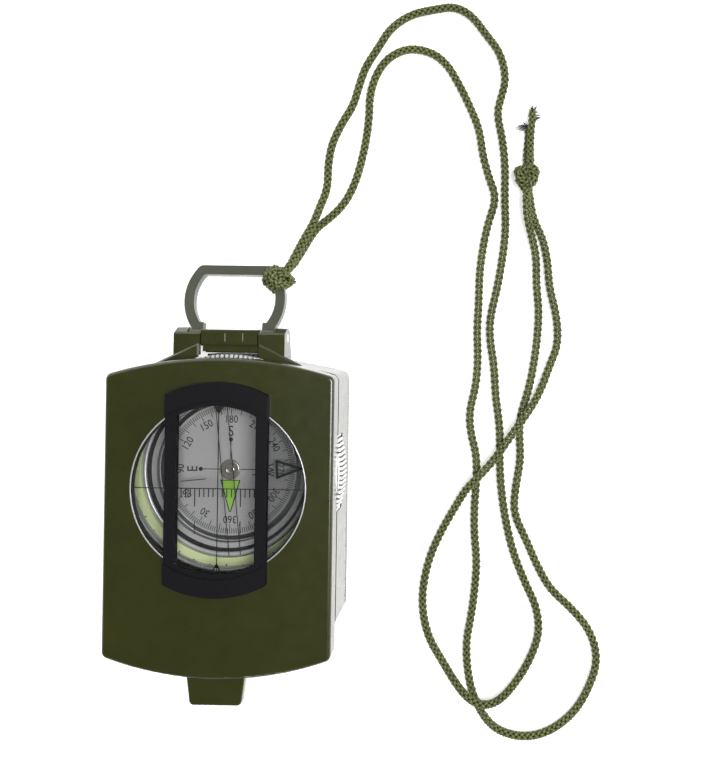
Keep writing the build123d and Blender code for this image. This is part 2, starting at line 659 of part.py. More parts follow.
def ring_washer(side):
    x = sorted((side * (BLOCK_HALF + 0.1), side * (FOOT_IN - 0.1)))
    return bar(PIN_R + 0.9, x, PIN_Y, PIN_Z) - bar(PIN_R, (x[0] - 1, x[1] + 1), PIN_Y, PIN_Z)


def lid_pin():
    out = LID_LUG_IN + LID_LUG_W
    return bar(PIN_R, (-out, out), LID_PIN_Y, LID_PIN_Z)


def cord_tube(route):
    """Round tube along straight runs joined by the largest tangent arcs that fit."""
    points = [Vector(*p) for p in route]
    runs = [b - a for a, b in zip(points, points[1:])]
    radii = []
    for before, after in zip(runs, runs[1:]):
        half_turn = math.radians(before.get_angle(after)) / 2
        radii.append(0.45 * min(before.length, after.length) / math.tan(half_turn))
    path = FilletPolyline(*points, radius=radii)
    start = Plane(origin=points[0], z_dir=runs[0])
    tube = sweep(start * Circle(CORD_R), path=path)
    expected = math.pi * CORD_R**2 * path.length
    share = tube.volume / expected
    print(f"cord {path.length:.1f} mm, least radius {min(radii):.1f}, volume {share:.4f} of its length")
    return tube


def end_knot():
    radius, half_height = END_KNOT
    lump = scale(Sphere(1.0), by=(radius, radius, half_height))
    knot = Pos(END_KNOT_AT[0], END_KNOT_AT[1], half_height) * lump
    return knot


PARTS = {
    "base_housing": base_housing,
    "bottom_cover": bottom_cover,
    "cover_gasket": cover_gasket,
    "capsule_cup": capsule_cup,
    "capsule_seal": capsule_seal,
    "capsule_glass": capsule_glass,
    "filler_plug": filler_plug,
    "pivot_post": pivot_post,
    "bezel_click_spring": click_spring,
    "ring_pin": ring_pin,
    "lid_pin": lid_pin,
    "dial_card": dial_card,
    "pivot_jewel": pivot_jewel,
    "dial_magnet": dial_magnet,
    "jewel_cap": jewel_cap,
    "bezel_ring": bezel_ring,
    "luminous_ring": luminous_ring,
    "glass_spacer": glass_spacer,
    "bezel_glass": bezel_glass,
    "lid_shell": lid_shell,
    "window_seal": window_seal,
    "lid_window": lid_window,
    "sight_frame": sight_frame,
    "eyepiece_block": eyepiece_block,
    "lens_holder": lens_holder,
    "magnifier_lens": magnifier_lens,
    "lens_ring": lens_ring,
    "thumb_ring": thumb_ring,
    "cord_hitch": cord_hitch,
    "cord_end_knot": end_knot,
}

os.makedirs("parts", exist_ok=True)
for name, make in PARTS.items():
    export_step(make(), f"parts/{name}.step")
for number, place in enumerate(cover_screw_places(), 1):
    export_step(cover_screw(place), f"parts/cover_screw_{number}.step")
for number, place in enumerate(frame_screw_places(), 1):
    export_step(frame_screw(place), f"parts/frame_screw_{number}.step")
for side, sx in (("right", 1), ("left", -1)):
    export_step(holder_screw(sx), f"parts/holder_screw_{side}.step")
    export_step(ring_washer(sx), f"parts/ring_washer_{side}.step")
ROUTES = {
    "cord_strand_over": STRAND_OVER,
    "cord_strand_under": STRAND_UNDER,
    "cord_tail_long": TAIL_LONG,
    "cord_tail_short": TAIL_SHORT,
}
for name, route in ROUTES.items():
    export_step(cord_tube(route), f"parts/{name}.step")
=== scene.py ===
"""A folding sighting compass with its lanyard: finishes, scales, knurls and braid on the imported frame."""
import json
import math
import random

import bpy
import numpy as np
from mathutils import Matrix, Vector


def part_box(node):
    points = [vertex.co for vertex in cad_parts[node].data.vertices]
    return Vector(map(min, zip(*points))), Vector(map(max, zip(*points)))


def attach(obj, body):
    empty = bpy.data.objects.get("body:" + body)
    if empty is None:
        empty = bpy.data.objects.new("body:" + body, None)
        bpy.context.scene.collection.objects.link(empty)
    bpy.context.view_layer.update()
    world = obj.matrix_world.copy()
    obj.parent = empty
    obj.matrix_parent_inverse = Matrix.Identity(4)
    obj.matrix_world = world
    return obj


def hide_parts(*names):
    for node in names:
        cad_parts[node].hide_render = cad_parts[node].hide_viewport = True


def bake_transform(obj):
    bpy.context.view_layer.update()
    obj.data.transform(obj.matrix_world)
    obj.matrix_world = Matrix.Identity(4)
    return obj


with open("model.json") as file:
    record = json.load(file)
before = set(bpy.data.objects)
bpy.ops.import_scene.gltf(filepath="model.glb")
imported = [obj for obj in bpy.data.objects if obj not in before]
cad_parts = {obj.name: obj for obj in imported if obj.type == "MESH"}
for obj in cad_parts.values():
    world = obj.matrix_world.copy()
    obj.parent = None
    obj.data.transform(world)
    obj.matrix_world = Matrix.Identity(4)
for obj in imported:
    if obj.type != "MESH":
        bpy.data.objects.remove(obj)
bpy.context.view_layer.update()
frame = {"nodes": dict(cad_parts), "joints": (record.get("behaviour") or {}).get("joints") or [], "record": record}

bl_info = {
    "name": "Sighting Compass",
    "version": (1, 0, 0),
    "blender": (4, 5, 0),
    "location": "View3D > Sidebar > Compass",
    "description": "Builds the finishes, scales and lanyard of a folding sighting compass",
    "category": "Object",
}

MM = 0.001

# Height of a strand's middle where it lies on the table, in millimetres
LIE = 1.4

# Each strand's route in millimetres, from the hitch to the end knot
STRAND_OVER = [
    (15.5, 61.0, 8.3), (17.0, 65.0, 6.6), (19.0, 69.5, 5.2), (21.0, 73.5, 4.2), (22.5, 79.0, 2.2),
    (24.5, 84.5, LIE), (24.5, 91.5, LIE), (25.5, 98.0, LIE), (28.5, 104.5, LIE), (32.0, 110.0, LIE),
    (33.5, 115.5, LIE), (35.5, 122.0, LIE), (39.5, 128.0, LIE), (43.0, 134.0, LIE),
    (49.5, 138.5, LIE), (56.8, 140.0, LIE), (62.9, 141.0, LIE), (68.3, 138.1, LIE),
    (72.5, 132.5, LIE), (77.0, 127.0, LIE), (79.0, 119.0, LIE), (77.5, 113.1, LIE),
    (76.2, 108.3, LIE), (78.0, 100.5, LIE), (79.0, 92.5, LIE), (79.0, 82.0, LIE), (79.5, 72.5, LIE),
    (78.5, 63.0, LIE), (77.0, 54.0, LIE), (75.0, 45.5, LIE), (75.0, 38.5, LIE), (76.5, 30.5, LIE),
    (77.0, 21.0, LIE), (78.5, 12.0, LIE), (78.5, 2.5, LIE), (79.0, -6.5, LIE), (80.5, -16.5, LIE),
    (83.0, -26.5, LIE), (87.0, -36.0, LIE), (90.5, -43.0, LIE), (91.5, -51.0, LIE),
    (88.5, -59.5, LIE), (84.0, -66.8, LIE), (79.5, -71.2, 2.7), (75.1, -72.2, 4.2),
    (70.6, -70.8, 4.2), (66.4, -66.8, 2.7), (61.5, -59.5, LIE), (57.5, -53.0, LIE),
    (55.5, -45.0, LIE), (55.5, -37.0, LIE), (57.5, -28.0, LIE), (61.0, -20.0, LIE),
    (65.5, -12.0, 2.0), (68.5, -6.5, 4.6), (72.5, -2.5, 4.9), (76.0, 1.5, 4.9), (79.0, 5.5, 4.9),
    (82.0, 10.0, 4.7), (85.5, 15.0, 4.9), (88.5, 19.5, 4.6), (91.0, 24.0, 2.2), (93.5, 31.0, LIE),
    (96.0, 37.5, LIE), (95.5, 46.0, LIE), (93.0, 55.0, LIE), (92.5, 62.5, LIE), (91.0, 69.5, LIE),
    (88.0, 75.5, LIE), (87.0, 80.0, LIE), (86.5, 83.5, 1.7),
]
STRAND_UNDER = [
    (15.5, 61.0, 5.4), (17.5, 65.0, 3.4), (19.0, 68.5, 2.0), (21.5, 72.5, LIE), (25.5, 75.5, LIE),
    (29.5, 79.5, LIE), (32.5, 85.0, LIE), (34.5, 91.5, LIE), (36.0, 98.5, LIE), (37.0, 106.5, LIE),
    (37.0, 113.5, LIE), (39.0, 120.0, LIE), (42.5, 125.0, LIE), (48.5, 128.0, LIE),
    (55.5, 127.0, LIE), (60.5, 123.5, LIE), (64.5, 117.0, LIE), (68.0, 110.0, LIE),
    (71.0, 103.0, LIE), (72.0, 95.5, LIE), (74.0, 88.5, LIE), (76.5, 82.0, LIE), (74.0, 74.5, LIE),
    (72.5, 67.0, LIE), (71.5, 58.5, LIE), (71.5, 50.0, LIE), (71.0, 41.5, LIE), (71.5, 33.0, LIE),
    (71.0, 24.5, LIE), (69.0, 16.5, LIE), (69.5, 10.0, LIE), (71.5, 3.0, LIE), (71.5, -4.5, LIE),
    (71.0, -12.5, LIE), (71.0, -20.5, LIE), (72.0, -29.0, LIE), (71.5, -37.5, LIE),
    (70.5, -46.0, LIE), (69.0, -54.0, LIE), (69.5, -62.0, LIE), (71.0, -69.5, LIE),
    (74.5, -76.5, LIE), (79.0, -81.0, LIE), (87.0, -83.0, LIE), (95.0, -81.0, LIE),
    (102.5, -75.0, LIE), (107.0, -67.0, LIE), (109.5, -58.5, LIE), (107.0, -50.0, LIE),
    (101.5, -43.5, LIE), (94.5, -37.5, LIE), (90.5, -30.5, LIE), (87.0, -22.5, LIE),
    (83.0, -14.5, LIE), (83.5, -6.5, LIE), (85.0, 2.0, LIE), (84.5, 9.0, LIE), (84.5, 15.0, LIE),
    (87.0, 23.0, LIE), (88.5, 30.5, LIE), (89.5, 38.5, LIE), (90.0, 47.5, LIE), (89.0, 56.0, LIE),
    (89.0, 64.0, LIE), (87.5, 70.0, 2.2), (86.0, 75.0, 4.2), (85.5, 79.0, 4.6), (85.5, 82.5, 4.6),
]
TAIL_LONG = [
    (86.5, 93, 4.8), (86.5, 97, 4.0), (86.5, 101.5, 4.0), (87, 105.5, 3.6),
    (87, 108.5, 2.6),
]
TAIL_SHORT = [
    (85.5, 93.5, 1.9), (85.5, 96.5, LIE), (86, 100, LIE), (86, 104, LIE),
]


# ---------------------------------------------------------------- settings


class CompassSizes(bpy.types.PropertyGroup):
    """Sizes of the printed marks and of what repeats."""

    hairline: bpy.props.FloatProperty(
        name="Hairline", description="Width of the sighting lines", default=0.27 * MM, unit="LENGTH"
    )
    tick: bpy.props.FloatProperty(
        name="Tick", description="Width of the card's scale marks", default=0.2 * MM, unit="LENGTH"
    )
    ink: bpy.props.FloatProperty(
        name="Ink", description="Thickness of printed marks", default=0.02 * MM, unit="LENGTH"
    )
    card_marks: bpy.props.IntProperty(
        name="Card marks", description="Scale marks round the card", default=180
    )
    numeral: bpy.props.FloatProperty(
        name="Numeral", description="Height of the card's numerals", default=3.1 * MM, unit="LENGTH"
    )
    letter: bpy.props.FloatProperty(
        name="Letter", description="Height of the card's letters", default=4.3 * MM, unit="LENGTH"
    )
    bezel_teeth: bpy.props.IntProperty(
        name="Bezel teeth", description="Ribs of the bezel's knurl", default=155
    )
    bezel_turn: bpy.props.FloatProperty(
        name="Bezel turn", description="How far the bezel is set", default=math.radians(6), subtype="ANGLE"
    )
    window_pitch: bpy.props.FloatProperty(
        name="Window pitch", description="Spacing of the window's scale", default=1.27 * MM, unit="LENGTH"
    )


class CordSizes(bpy.types.PropertyGroup):
    """The lanyard's braid."""

    diameter: bpy.props.FloatProperty(
        name="Diameter", description="Across the braid", default=2.8 * MM, unit="LENGTH"
    )
    gauge: bpy.props.FloatProperty(
        name="Gauge", description="The cord's nominal diameter", default=2.5 * MM, unit="LENGTH"
    )
    lead: bpy.props.FloatProperty(
        name="Lead", description="Length of one turn of a yarn", default=7.2 * MM, unit="LENGTH"
    )
    yarn_width: bpy.props.FloatProperty(
        name="Yarn width", description="Width of one yarn", default=0.7 * MM, unit="LENGTH"
    )
    yarn_thick: bpy.props.FloatProperty(
        name="Yarn thickness", description="Thickness of one yarn", default=0.56 * MM, unit="LENGTH"
    )
    yarns: bpy.props.IntProperty(name="Yarns", description="Yarns that turn each way", default=4)


class Colours(bpy.types.PropertyGroup):
    """Base colours of the finishes."""

    paint: bpy.props.FloatVectorProperty(
        name="Case paint",
        description="Olive of the case and lid",
        default=(0.0235, 0.0285, 0.0036),
        subtype="COLOR",
    )
    ring: bpy.props.FloatVectorProperty(
        name="Ring paint", description="Thumb ring", default=(0.05, 0.062, 0.04), subtype="COLOR"
    )
    cord: bpy.props.FloatVectorProperty(
        name="Cord", description="Yarn of the lanyard", default=(0.073, 0.083, 0.03), subtype="COLOR"
    )
    card: bpy.props.FloatVectorProperty(
        name="Card", description="Face of the compass card", default=(0.33, 0.335, 0.33), subtype="COLOR"
    )
    lume: bpy.props.FloatVectorProperty(
        name="Luminous", description="Luminous ring", default=(0.52, 0.59, 0.32), subtype="COLOR"
    )
    arrow: bpy.props.FloatVectorProperty(
        name="Arrow", description="North arrow", default=(0.23, 0.46, 0.05), subtype="COLOR"
    )


class StageSizes(bpy.types.PropertyGroup):
    """Camera and light."""

    eye: bpy.props.FloatVectorProperty(
        name="Eye",
        description="Place of the camera",
        default=(0.07346, 0.04108, 0.24533),
        subtype="TRANSLATION",
    )
    tilt: bpy.props.FloatVectorProperty(
        name="Tilt", description="Turn of the camera", default=(0.005, 0.0079, 0.014), subtype="EULER"
    )
    lens: bpy.props.FloatProperty(name="Lens", description="Focal length in millimetres", default=39.3)
    shift: bpy.props.FloatVectorProperty(
        name="Shift", description="Lens shift", default=(-0.1575, -0.0705), size=2
    )
    sky: bpy.props.FloatProperty(name="Sky", description="Strength of the even light", default=1.0)
    floor_glow: bpy.props.FloatProperty(
        name="Floor glow", description="Light from the lit table", default=0.55
    )


# ---------------------------------------------------------------- node helpers


def feed(tree, socket, value):
    """Link a field to a socket, or set the socket's own value."""
    if isinstance(value, Field):
        tree.links.new(value.socket, socket)
    elif value is not None:
        socket.default_value = value


class Field:
    """One output of a node; arithmetic on it adds Math nodes to its tree."""

    def __init__(self, tree, socket):
        self.tree, self.socket = tree, socket

    def math(self, operation, *values, clamp=False):
        made = self.tree.nodes.new("ShaderNodeMath")
        made.operation, made.use_clamp = operation, clamp
        for socket, value in zip(made.inputs, values):
            feed(self.tree, socket, value)
        return Field(self.tree, made.outputs[0])

    def __add__(self, other):
        return self.math("ADD", self, other)

    def __sub__(self, other):
        return self.math("SUBTRACT", self, other)

    def __mul__(self, other):
        return self.math("MULTIPLY", self, other)

    def __truediv__(self, other):
        return self.math("DIVIDE", self, other)

    def __rsub__(self, other):
        return self.math("SUBTRACT", other, self)

    __radd__, __rmul__ = __add__, __mul__

    def __lt__(self, other):
        return self.math("LESS_THAN", self, other)

    def __gt__(self, other):
        return self.math("GREATER_THAN", self, other)

    def sine(self):
        return self.math("SINE", self)

    def cosine(self):
        return self.math("COSINE", self)

    def power(self, other):
        return self.math("POWER", self, other)

    def held(self):
        """Limited to the range 0 to 1."""
        return self.math("ADD", self, 0.0, clamp=True)

    def node(self, kind, settings=None, sockets=None, out=0):
        """Add a node of any type with its settings and sockets, and give one of its outputs."""
        made = self.tree.nodes.new(kind)
        for key, value in (settings or {}).items():
            setattr(made, key, value)
        for key, value in (sockets or {}).items():
            feed(self.tree, made.inputs[key], value)
        return Field(self.tree, made.outputs[out])

    def other(self, out):
        """Another output of the node that this one comes from."""
        return Field(self.tree, self.socket.node.outputs[out])


# ---------------------------------------------------------------- finishes


def shader(name):
    """A new material; gives it, its surface shader and a field of object coordinates."""
    material = bpy.data.materials.new(name)
    material.use_nodes = True
    tree = material.node_tree
    surface = tree.nodes["Principled BSDF"]
    return material, surface, Field(tree, None).node("ShaderNodeTexCoord", out="Object")


def noise(place, scale, detail=3.0, rough=0.55):
    return place.node(
        "ShaderNodeTexNoise", None, {"Vector": place, "Scale": scale, "Detail": detail, "Roughness": rough}
    )


def stretched(place, scale):
    return place.node("ShaderNodeMapping", None, {"Vector": place, "Scale": scale})


def two_tone(factor, one, other):
    """Blend of two colours."""
    return factor.node(
        "ShaderNodeMix",
        {"data_type": "RGBA"},
        {"Factor": factor, 6: (*one, 1), 7: (*other, 1)},
        out=2,
    )


def bump(height, strength, depth):
    return height.node("ShaderNodeBump", None, {"Height": height, "Strength": strength, "Distance": depth})


def shade(colour, by):
    return tuple(channel * by for channel in colour)


def painted(name, colour, grain=2600.0, rough=0.3, depth=0.012 * MM, coat=0.55):
    """Baked paint on metal with a fine grain and slow colour drift."""
    material, surface, place = shader(name)
    drift = noise(place, 38.0, 4.0)
    speck = noise(place, grain, 2.0)
    mix = (drift * 1.6 - 0.3 + (speck - 0.5) * 0.35).held()
    warm = (colour[0] * 1.3, colour[1] * 1.12, colour[2] * 1.1)
    feed(place.tree, surface.inputs["Base Color"], two_tone(mix, shade(colour, 0.8), warm))
    feed(place.tree, surface.inputs["Roughness"], (rough - 0.08 + noise(place, 300.0) * 0.16).held())
    feed(place.tree, surface.inputs["Normal"], bump(speck, 0.2, depth))
    surface.inputs["Coat Weight"].default_value = coat
    surface.inputs["Coat Roughness"].default_value = 0.2
    surface.inputs["Coat IOR"].default_value = 1.55
    return material


def crackle(name, colour):
    """Textured black finish of the sight frame and lens holder."""
    material, surface, place = shader(name)
    cells = place.node(
        "ShaderNodeTexVoronoi",
        {"feature": "SMOOTH_F1"},
        {"Vector": place, "Scale": 2300.0, "Smoothness": 0.6},
    )
    speck = noise(place, 1500.0, 4.0)
    tone = two_tone((cells * 1.4).held(), shade(colour, 0.6), shade(colour, 1.5))
    feed(place.tree, surface.inputs["Base Color"], tone)
    feed(place.tree, surface.inputs["Roughness"], (0.48 + speck * 0.2).held())
    feed(place.tree, surface.inputs["Normal"], bump(cells + speck * 0.5, 0.45, 0.04 * MM))
    surface.inputs["Specular IOR Level"].default_value = 0.14
    return material


def metal(name, colour, rough=0.25, metallic=1.0, stretch=(1.0, 1.0, 1.0), scale=900.0):
    """Turned or brushed metal with fine scratches."""
    material, surface, place = shader(name)
    lines = noise(stretched(place, stretch), scale, 5.0, 0.7)
    haze = noise(place, 120.0, 3.0)
    feed(place.tree, surface.inputs["Base Color"], two_tone(lines, shade(colour, 0.82), shade(colour, 1.08)))
    feed(place.tree, surface.inputs["Roughness"], (rough - 0.08 + lines * 0.12 + haze * 0.08).held())
    feed(place.tree, surface.inputs["Normal"], bump(lines, 0.18, 0.01 * MM))
    surface.inputs["Metallic"].default_value = metallic
    return material


def knurled(name, colour, edge):
    """Bezel alloy with painted shade in the knurl's grooves: dark, rough and dull outside a radius."""
    material, surface, place = shader(name)
    flat = place.node("ShaderNodeVectorMath", {"operation": "MULTIPLY"}, {0: place, 1: (1, 1, 0)})
    away = flat.node("ShaderNodeVectorMath", {"operation": "LENGTH"}, {0: flat}, out=1)
    # painted shade: outside the radius the alloy turns dark, rough and dull, standing in for the shadow between
    # the knurl's teeth
    groove_shade = (away > edge) * 0.95 + noise(place, 900.0) * 0.05
    feed(place.tree, surface.inputs["Base Color"], two_tone(groove_shade, colour, (0.03, 0.03, 0.025)))
    feed(place.tree, surface.inputs["Roughness"], (0.25 + groove_shade * 0.4).held())
    feed(place.tree, surface.inputs["Metallic"], 1 - groove_shade * 0.9)
    feed(place.tree, surface.inputs["Normal"], bump(noise(place, 1500.0), 0.2, 0.01 * MM))
    return material


def moulded(name, colour, rough=0.5, grain=1800.0, depth=0.015 * MM):
    """Moulded plastic, rubber, ink or compound with a fine grain."""
    material, surface, place = shader(name)
    speck = noise(place, grain, 3.0)
    cloud = noise(place, 90.0, 3.0)
    mix = (cloud * 0.9 + speck * 0.3 - 0.1).held()
    feed(place.tree, surface.inputs["Base Color"], two_tone(mix, shade(colour, 0.85), shade(colour, 1.1)))
    feed(place.tree, surface.inputs["Roughness"], (rough - 0.07 + speck * 0.14).held())
    feed(place.tree, surface.inputs["Normal"], bump(speck, 0.3, depth))
    return material


def clear(name, veil, tint=(0.25, 0.26, 0.26), rough=0.04, painted_shade_beyond=None):
    """Clear pane: mostly see-through, with its reflections and a faint film of dust; where asked, painted shade
    makes it darker outside a band, more on the +X side.
    """
    material, surface, place = shader(name)
    tree = place.tree
    fresnel = place.node("ShaderNodeFresnel", None, {"IOR": 1.45})
    dust = noise(place, 700.0, 4.0)
    cover = (fresnel - 0.03) * 0.35 + veil + (dust - 0.5) * 0.008
    if painted_shade_beyond:
        across = place.node("ShaderNodeSeparateXYZ", None, {"Vector": place})
        # painted shade: beyond the band the pane grows more opaque and dark, strongly on the +X side and lightly
        # on the -X side
        cover = cover + (across > painted_shade_beyond) * 0.19 + (across < -painted_shade_beyond) * 0.05
    feed(tree, surface.inputs["Alpha"], cover.held())
    feed(tree, surface.inputs["Roughness"], (rough + dust * 0.03).held())
    feed(tree, surface.inputs["Base Color"], two_tone(dust, tint, shade(tint, 1.6)))
    surface.inputs["IOR"].default_value = 1.5
    return material


def yarn(name, colour):
    """Shiny filament yarn: lines along each yarn, with painted light and shade of the weave: lighter on its crown,
    darker where it dives under the crossing yarn.
    """
    material, surface, place = shader(name)
    tree = place.tree
    along = place.node("ShaderNodeAttribute", {"attribute_name": "along"}, out=2)
    round_it = place.node("ShaderNodeAttribute", {"attribute_name": "round"}, out=2)
    lines = (round_it * 56.5 + along * 2200.0).sine() * 0.5 + 0.5
    patch = noise(place, 160.0, 3.0)
    fuzz = noise(place, 3200.0, 2.0)
    lift = place.node("ShaderNodeAttribute", {"attribute_name": "lift"}, out=2)
    # painted light and shade of the weave: the yarn is darkened where it dives under the crossing yarn and
    # brightened to over three times its colour where it lies on top
    mix = ((lines * 0.35 + patch * 0.35 + fuzz * 0.3) * (lift * 1.5 - 0.15)).held()
    feed(tree, surface.inputs["Base Color"], two_tone(mix, shade(colour, 0.1), shade(colour, 3.6)))
    feed(tree, surface.inputs["Roughness"], (0.42 + fuzz * 0.15).held())
    feed(tree, surface.inputs["Normal"], bump(lines + fuzz * 0.6, 0.5, 0.04 * MM))
    surface.inputs["Specular IOR Level"].default_value = 0.25
    return material


FINISHES = {}


def finish(slot):
    return FINISHES[slot]


# ---------------------------------------------------------------- mesh helpers


def placed(mesh, name, body, slot):
    """Make an object of a mesh, with its finish, riding on a body if one is named."""
    piece = bpy.data.objects.new(name, mesh)
    bpy.context.collection.objects.link(piece)
    if not mesh.materials:
        mesh.materials.append(finish(slot))
    if body:
        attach(piece, body)
    return piece


def grown(name, tree, inputs):
    """Run a geometry tree and give its result as a plain mesh."""
    holder = bpy.data.objects.new(name + "_holder", bpy.data.meshes.new(name))
    bpy.context.collection.objects.link(holder)
    modifier = holder.modifiers.new("Grow", "NODES")
    modifier.node_group = tree
    idents = {item.name: item.identifier for item in tree.interface.items_tree if item.in_out == "INPUT"}
    for key, value in inputs.items():
        modifier[idents[key]] = value
    depsgraph = bpy.context.evaluated_depsgraph_get()
    depsgraph.update()
    mesh = bpy.data.meshes.new_from_object(
        holder.evaluated_get(depsgraph), preserve_all_data_layers=True, depsgraph=depsgraph
    )
    bpy.data.objects.remove(holder)
    mesh.name = name
    return mesh


def stroke(start, end, width):
    """Outline of a straight line of ink, in millimetres."""
    a, b = Vector(start), Vector(end)
    side = (b - a).normalized().orthogonal() * width / 2
    return [tuple(p) for p in (a - side, b - side, b + side, a + side)][::-1]


def dot(centre, radius, points=20):
    return [
        (centre[0] + radius * math.cos(a), centre[1] + radius * math.sin(a))
        for a in (2 * math.pi * i / points for i in range(points))
    ]


def turned(outlines, angle):
    """Outlines turned about the origin."""
    c, s = math.cos(angle), math.sin(angle)
    return [[(c * x - s * y, s * x + c * y) for x, y in outline] for outline in outlines]


def moved(outlines, x, y):
    return [[(px + x, py + y) for px, py in outline] for outline in outlines]


def outline_area(outline):
    return sum(a[0] * b[1] - b[0] * a[1] for a, b in zip(outline, outline[1:] + outline[:1])) / 2


def prisms(name, outlines, low, high):
    """Thin solids on plan outlines in millimetres."""
    verts, faces = [], []
    for outline in outlines:
        if outline_area(outline) < 0:
            outline = outline[::-1]
        count, base = len(outline), len(verts)
        verts += [(x * MM, y * MM, z * MM) for z in (low, high) for x, y in outline]
        faces.append([base + i for i in reversed(range(count))])
        faces.append([base + count + i for i in range(count)])
        faces += [
            [base + i, base + (i + 1) % count, base + count + (i + 1) % count, base + count + i]
            for i in range(count)
        ]
    mesh = bpy.data.meshes.new(name)
    mesh.from_pydata(verts, [], faces)
    mesh.update()
    return mesh


def lathe(name, profile, at=(0.0, 0.0), steps=96):
    """Closed ring turned from a profile of (radius, height) points in millimetres."""
    verts, faces = [], []
    count = len(profile)
    for i in range(steps):
        a = 2 * math.pi * i / steps
        way = (math.cos(a), math.sin(a))
        verts += [((at[0] + r * way[0]) * MM, (at[1] + r * way[1]) * MM, z * MM) for r, z in profile]
    for i in range(steps):
        j = (i + 1) % steps
        for k in range(count):
            n = (k + 1) % count
            faces.append([i * count + k, j * count + k, j * count + n, i * count + n])
    mesh = bpy.data.meshes.new(name)
    mesh.from_pydata(verts, [], faces)
    mesh.polygons.foreach_set("use_smooth", [True] * len(mesh.polygons))
    mesh.update()
    return mesh


# ---------------------------------------------------------------- geometry trees


def tree_with(name, sockets):
    """An empty geometry tree with named inputs; gives the tree and a field for each input."""
    tree = bpy.data.node_groups.new(name, "GeometryNodeTree")
    for label, kind in sockets.items():
        tree.interface.new_socket(label, in_out="INPUT", socket_type="NodeSocket" + kind)
    tree.interface.new_socket("Geometry", in_out="OUTPUT", socket_type="NodeSocketGeometry")
    entry = tree.nodes.new("NodeGroupInput")
    fields = {label: Field(tree, entry.outputs[label]) for label in sockets}
    return tree, fields


def close_tree(tree, geometry, material):
    """Realize, give the material and finish the tree."""
    real = geometry.node("GeometryNodeRealizeInstances", None, {"Geometry": geometry})
    coated = real.node("GeometryNodeSetMaterial", None, {"Geometry": real, "Material": material})
    leave = tree.nodes.new("NodeGroupOutput")
    tree.links.new(coated.socket, leave.inputs["Geometry"])


def ring_of_marks():
    """Radial bars round a circle, every so often a longer one; the bars reach inwards from the radius."""
    tree, f = tree_with(
        "Ring of marks",
        {
            "Count": "Int",
            "Radius": "Float",
            "Short": "Float",
            "Long": "Float",
            "Every": "Int",
            "Width": "Float",
            "Low": "Float",
            "High": "Float",
            "Sides": "Int",
            "Material": "Material",
        },
    )
    start = f["Radius"]
    circle = start.node("GeometryNodeMeshCircle", None, {"Vertices": f["Count"], "Radius": f["Radius"]})
    index = start.node("GeometryNodeInputIndex")
    spot = start.node("GeometryNodeInputPosition")
    parts = start.node("ShaderNodeSeparateXYZ", None, {0: spot})
    angle = start.math("ARCTAN2", parts.other(1), parts)
    is_long = start.math("MODULO", index, f["Every"]) < 0.5
    length = f["Short"] + is_long * (f["Long"] - f["Short"])
    bar = start.node(
        "GeometryNodeMeshCylinder",
        None,
        {"Vertices": f["Sides"], "Side Segments": 1, "Radius": 0.70711, "Depth": 1.0},
    )
    squared = start.node(
        "GeometryNodeTransform",
        None,
        {"Geometry": bar, "Rotation": (0.0, 0.0, math.pi / 4)},
    )
    shifted = start.node(
        "GeometryNodeTransform", None, {"Geometry": squared, "Translation": (-0.5, 0.0, 0.0)}
    )
    turn = start.node("ShaderNodeCombineXYZ", None, {"Z": angle})
    grow = start.node("ShaderNodeCombineXYZ", None, {"X": length, "Y": f["Width"], "Z": f["High"] - f["Low"]})
    marks = start.node(
        "GeometryNodeInstanceOnPoints",
        None,
        {"Points": circle, "Instance": shifted, "Rotation": turn, "Scale": grow},
    )
    lift = start.node("ShaderNodeCombineXYZ", None, {"Z": (f["High"] + f["Low"]) * 0.5})
    lifted = start.node("GeometryNodeTransform", None, {"Geometry": marks, "Translation": lift})
    close_tree(tree, lifted, f["Material"])
    return tree


def row_of_marks():
    """Bars in a straight row along X, hanging from the row's line; every so often a longer one."""
    tree, f = tree_with(
        "Row of marks",
        {
            "Count": "Int",
            "Pitch": "Float",
            "Short": "Float",
            "Long": "Float",
            "Every": "Int",
            "Offset": "Int",
            "Width": "Float",
            "Thickness": "Float",
            "Material": "Material",
        },
    )
    start = f["Pitch"]
    step = start.node("ShaderNodeCombineXYZ", None, {"X": f["Pitch"]})
    line = start.node("GeometryNodeMeshLine", None, {"Count": f["Count"], "Offset": step})
    index = start.node("GeometryNodeInputIndex")
    is_long = start.math("MODULO", index + f["Offset"], f["Every"]) < 0.5
    length = f["Short"] + is_long * (f["Long"] - f["Short"])
    bar = start.node("GeometryNodeMeshCube", None, {"Size": (1.0, 1.0, 1.0)})
    hung = start.node("GeometryNodeTransform", None, {"Geometry": bar, "Translation": (0.0, -0.5, 0.0)})
    grow = start.node("ShaderNodeCombineXYZ", None, {"X": f["Width"], "Y": length, "Z": f["Thickness"]})
    marks = start.node(
        "GeometryNodeInstanceOnPoints", None, {"Points": line, "Instance": hung, "Scale": grow}
    )
    close_tree(tree, marks, f["Material"])
    return tree


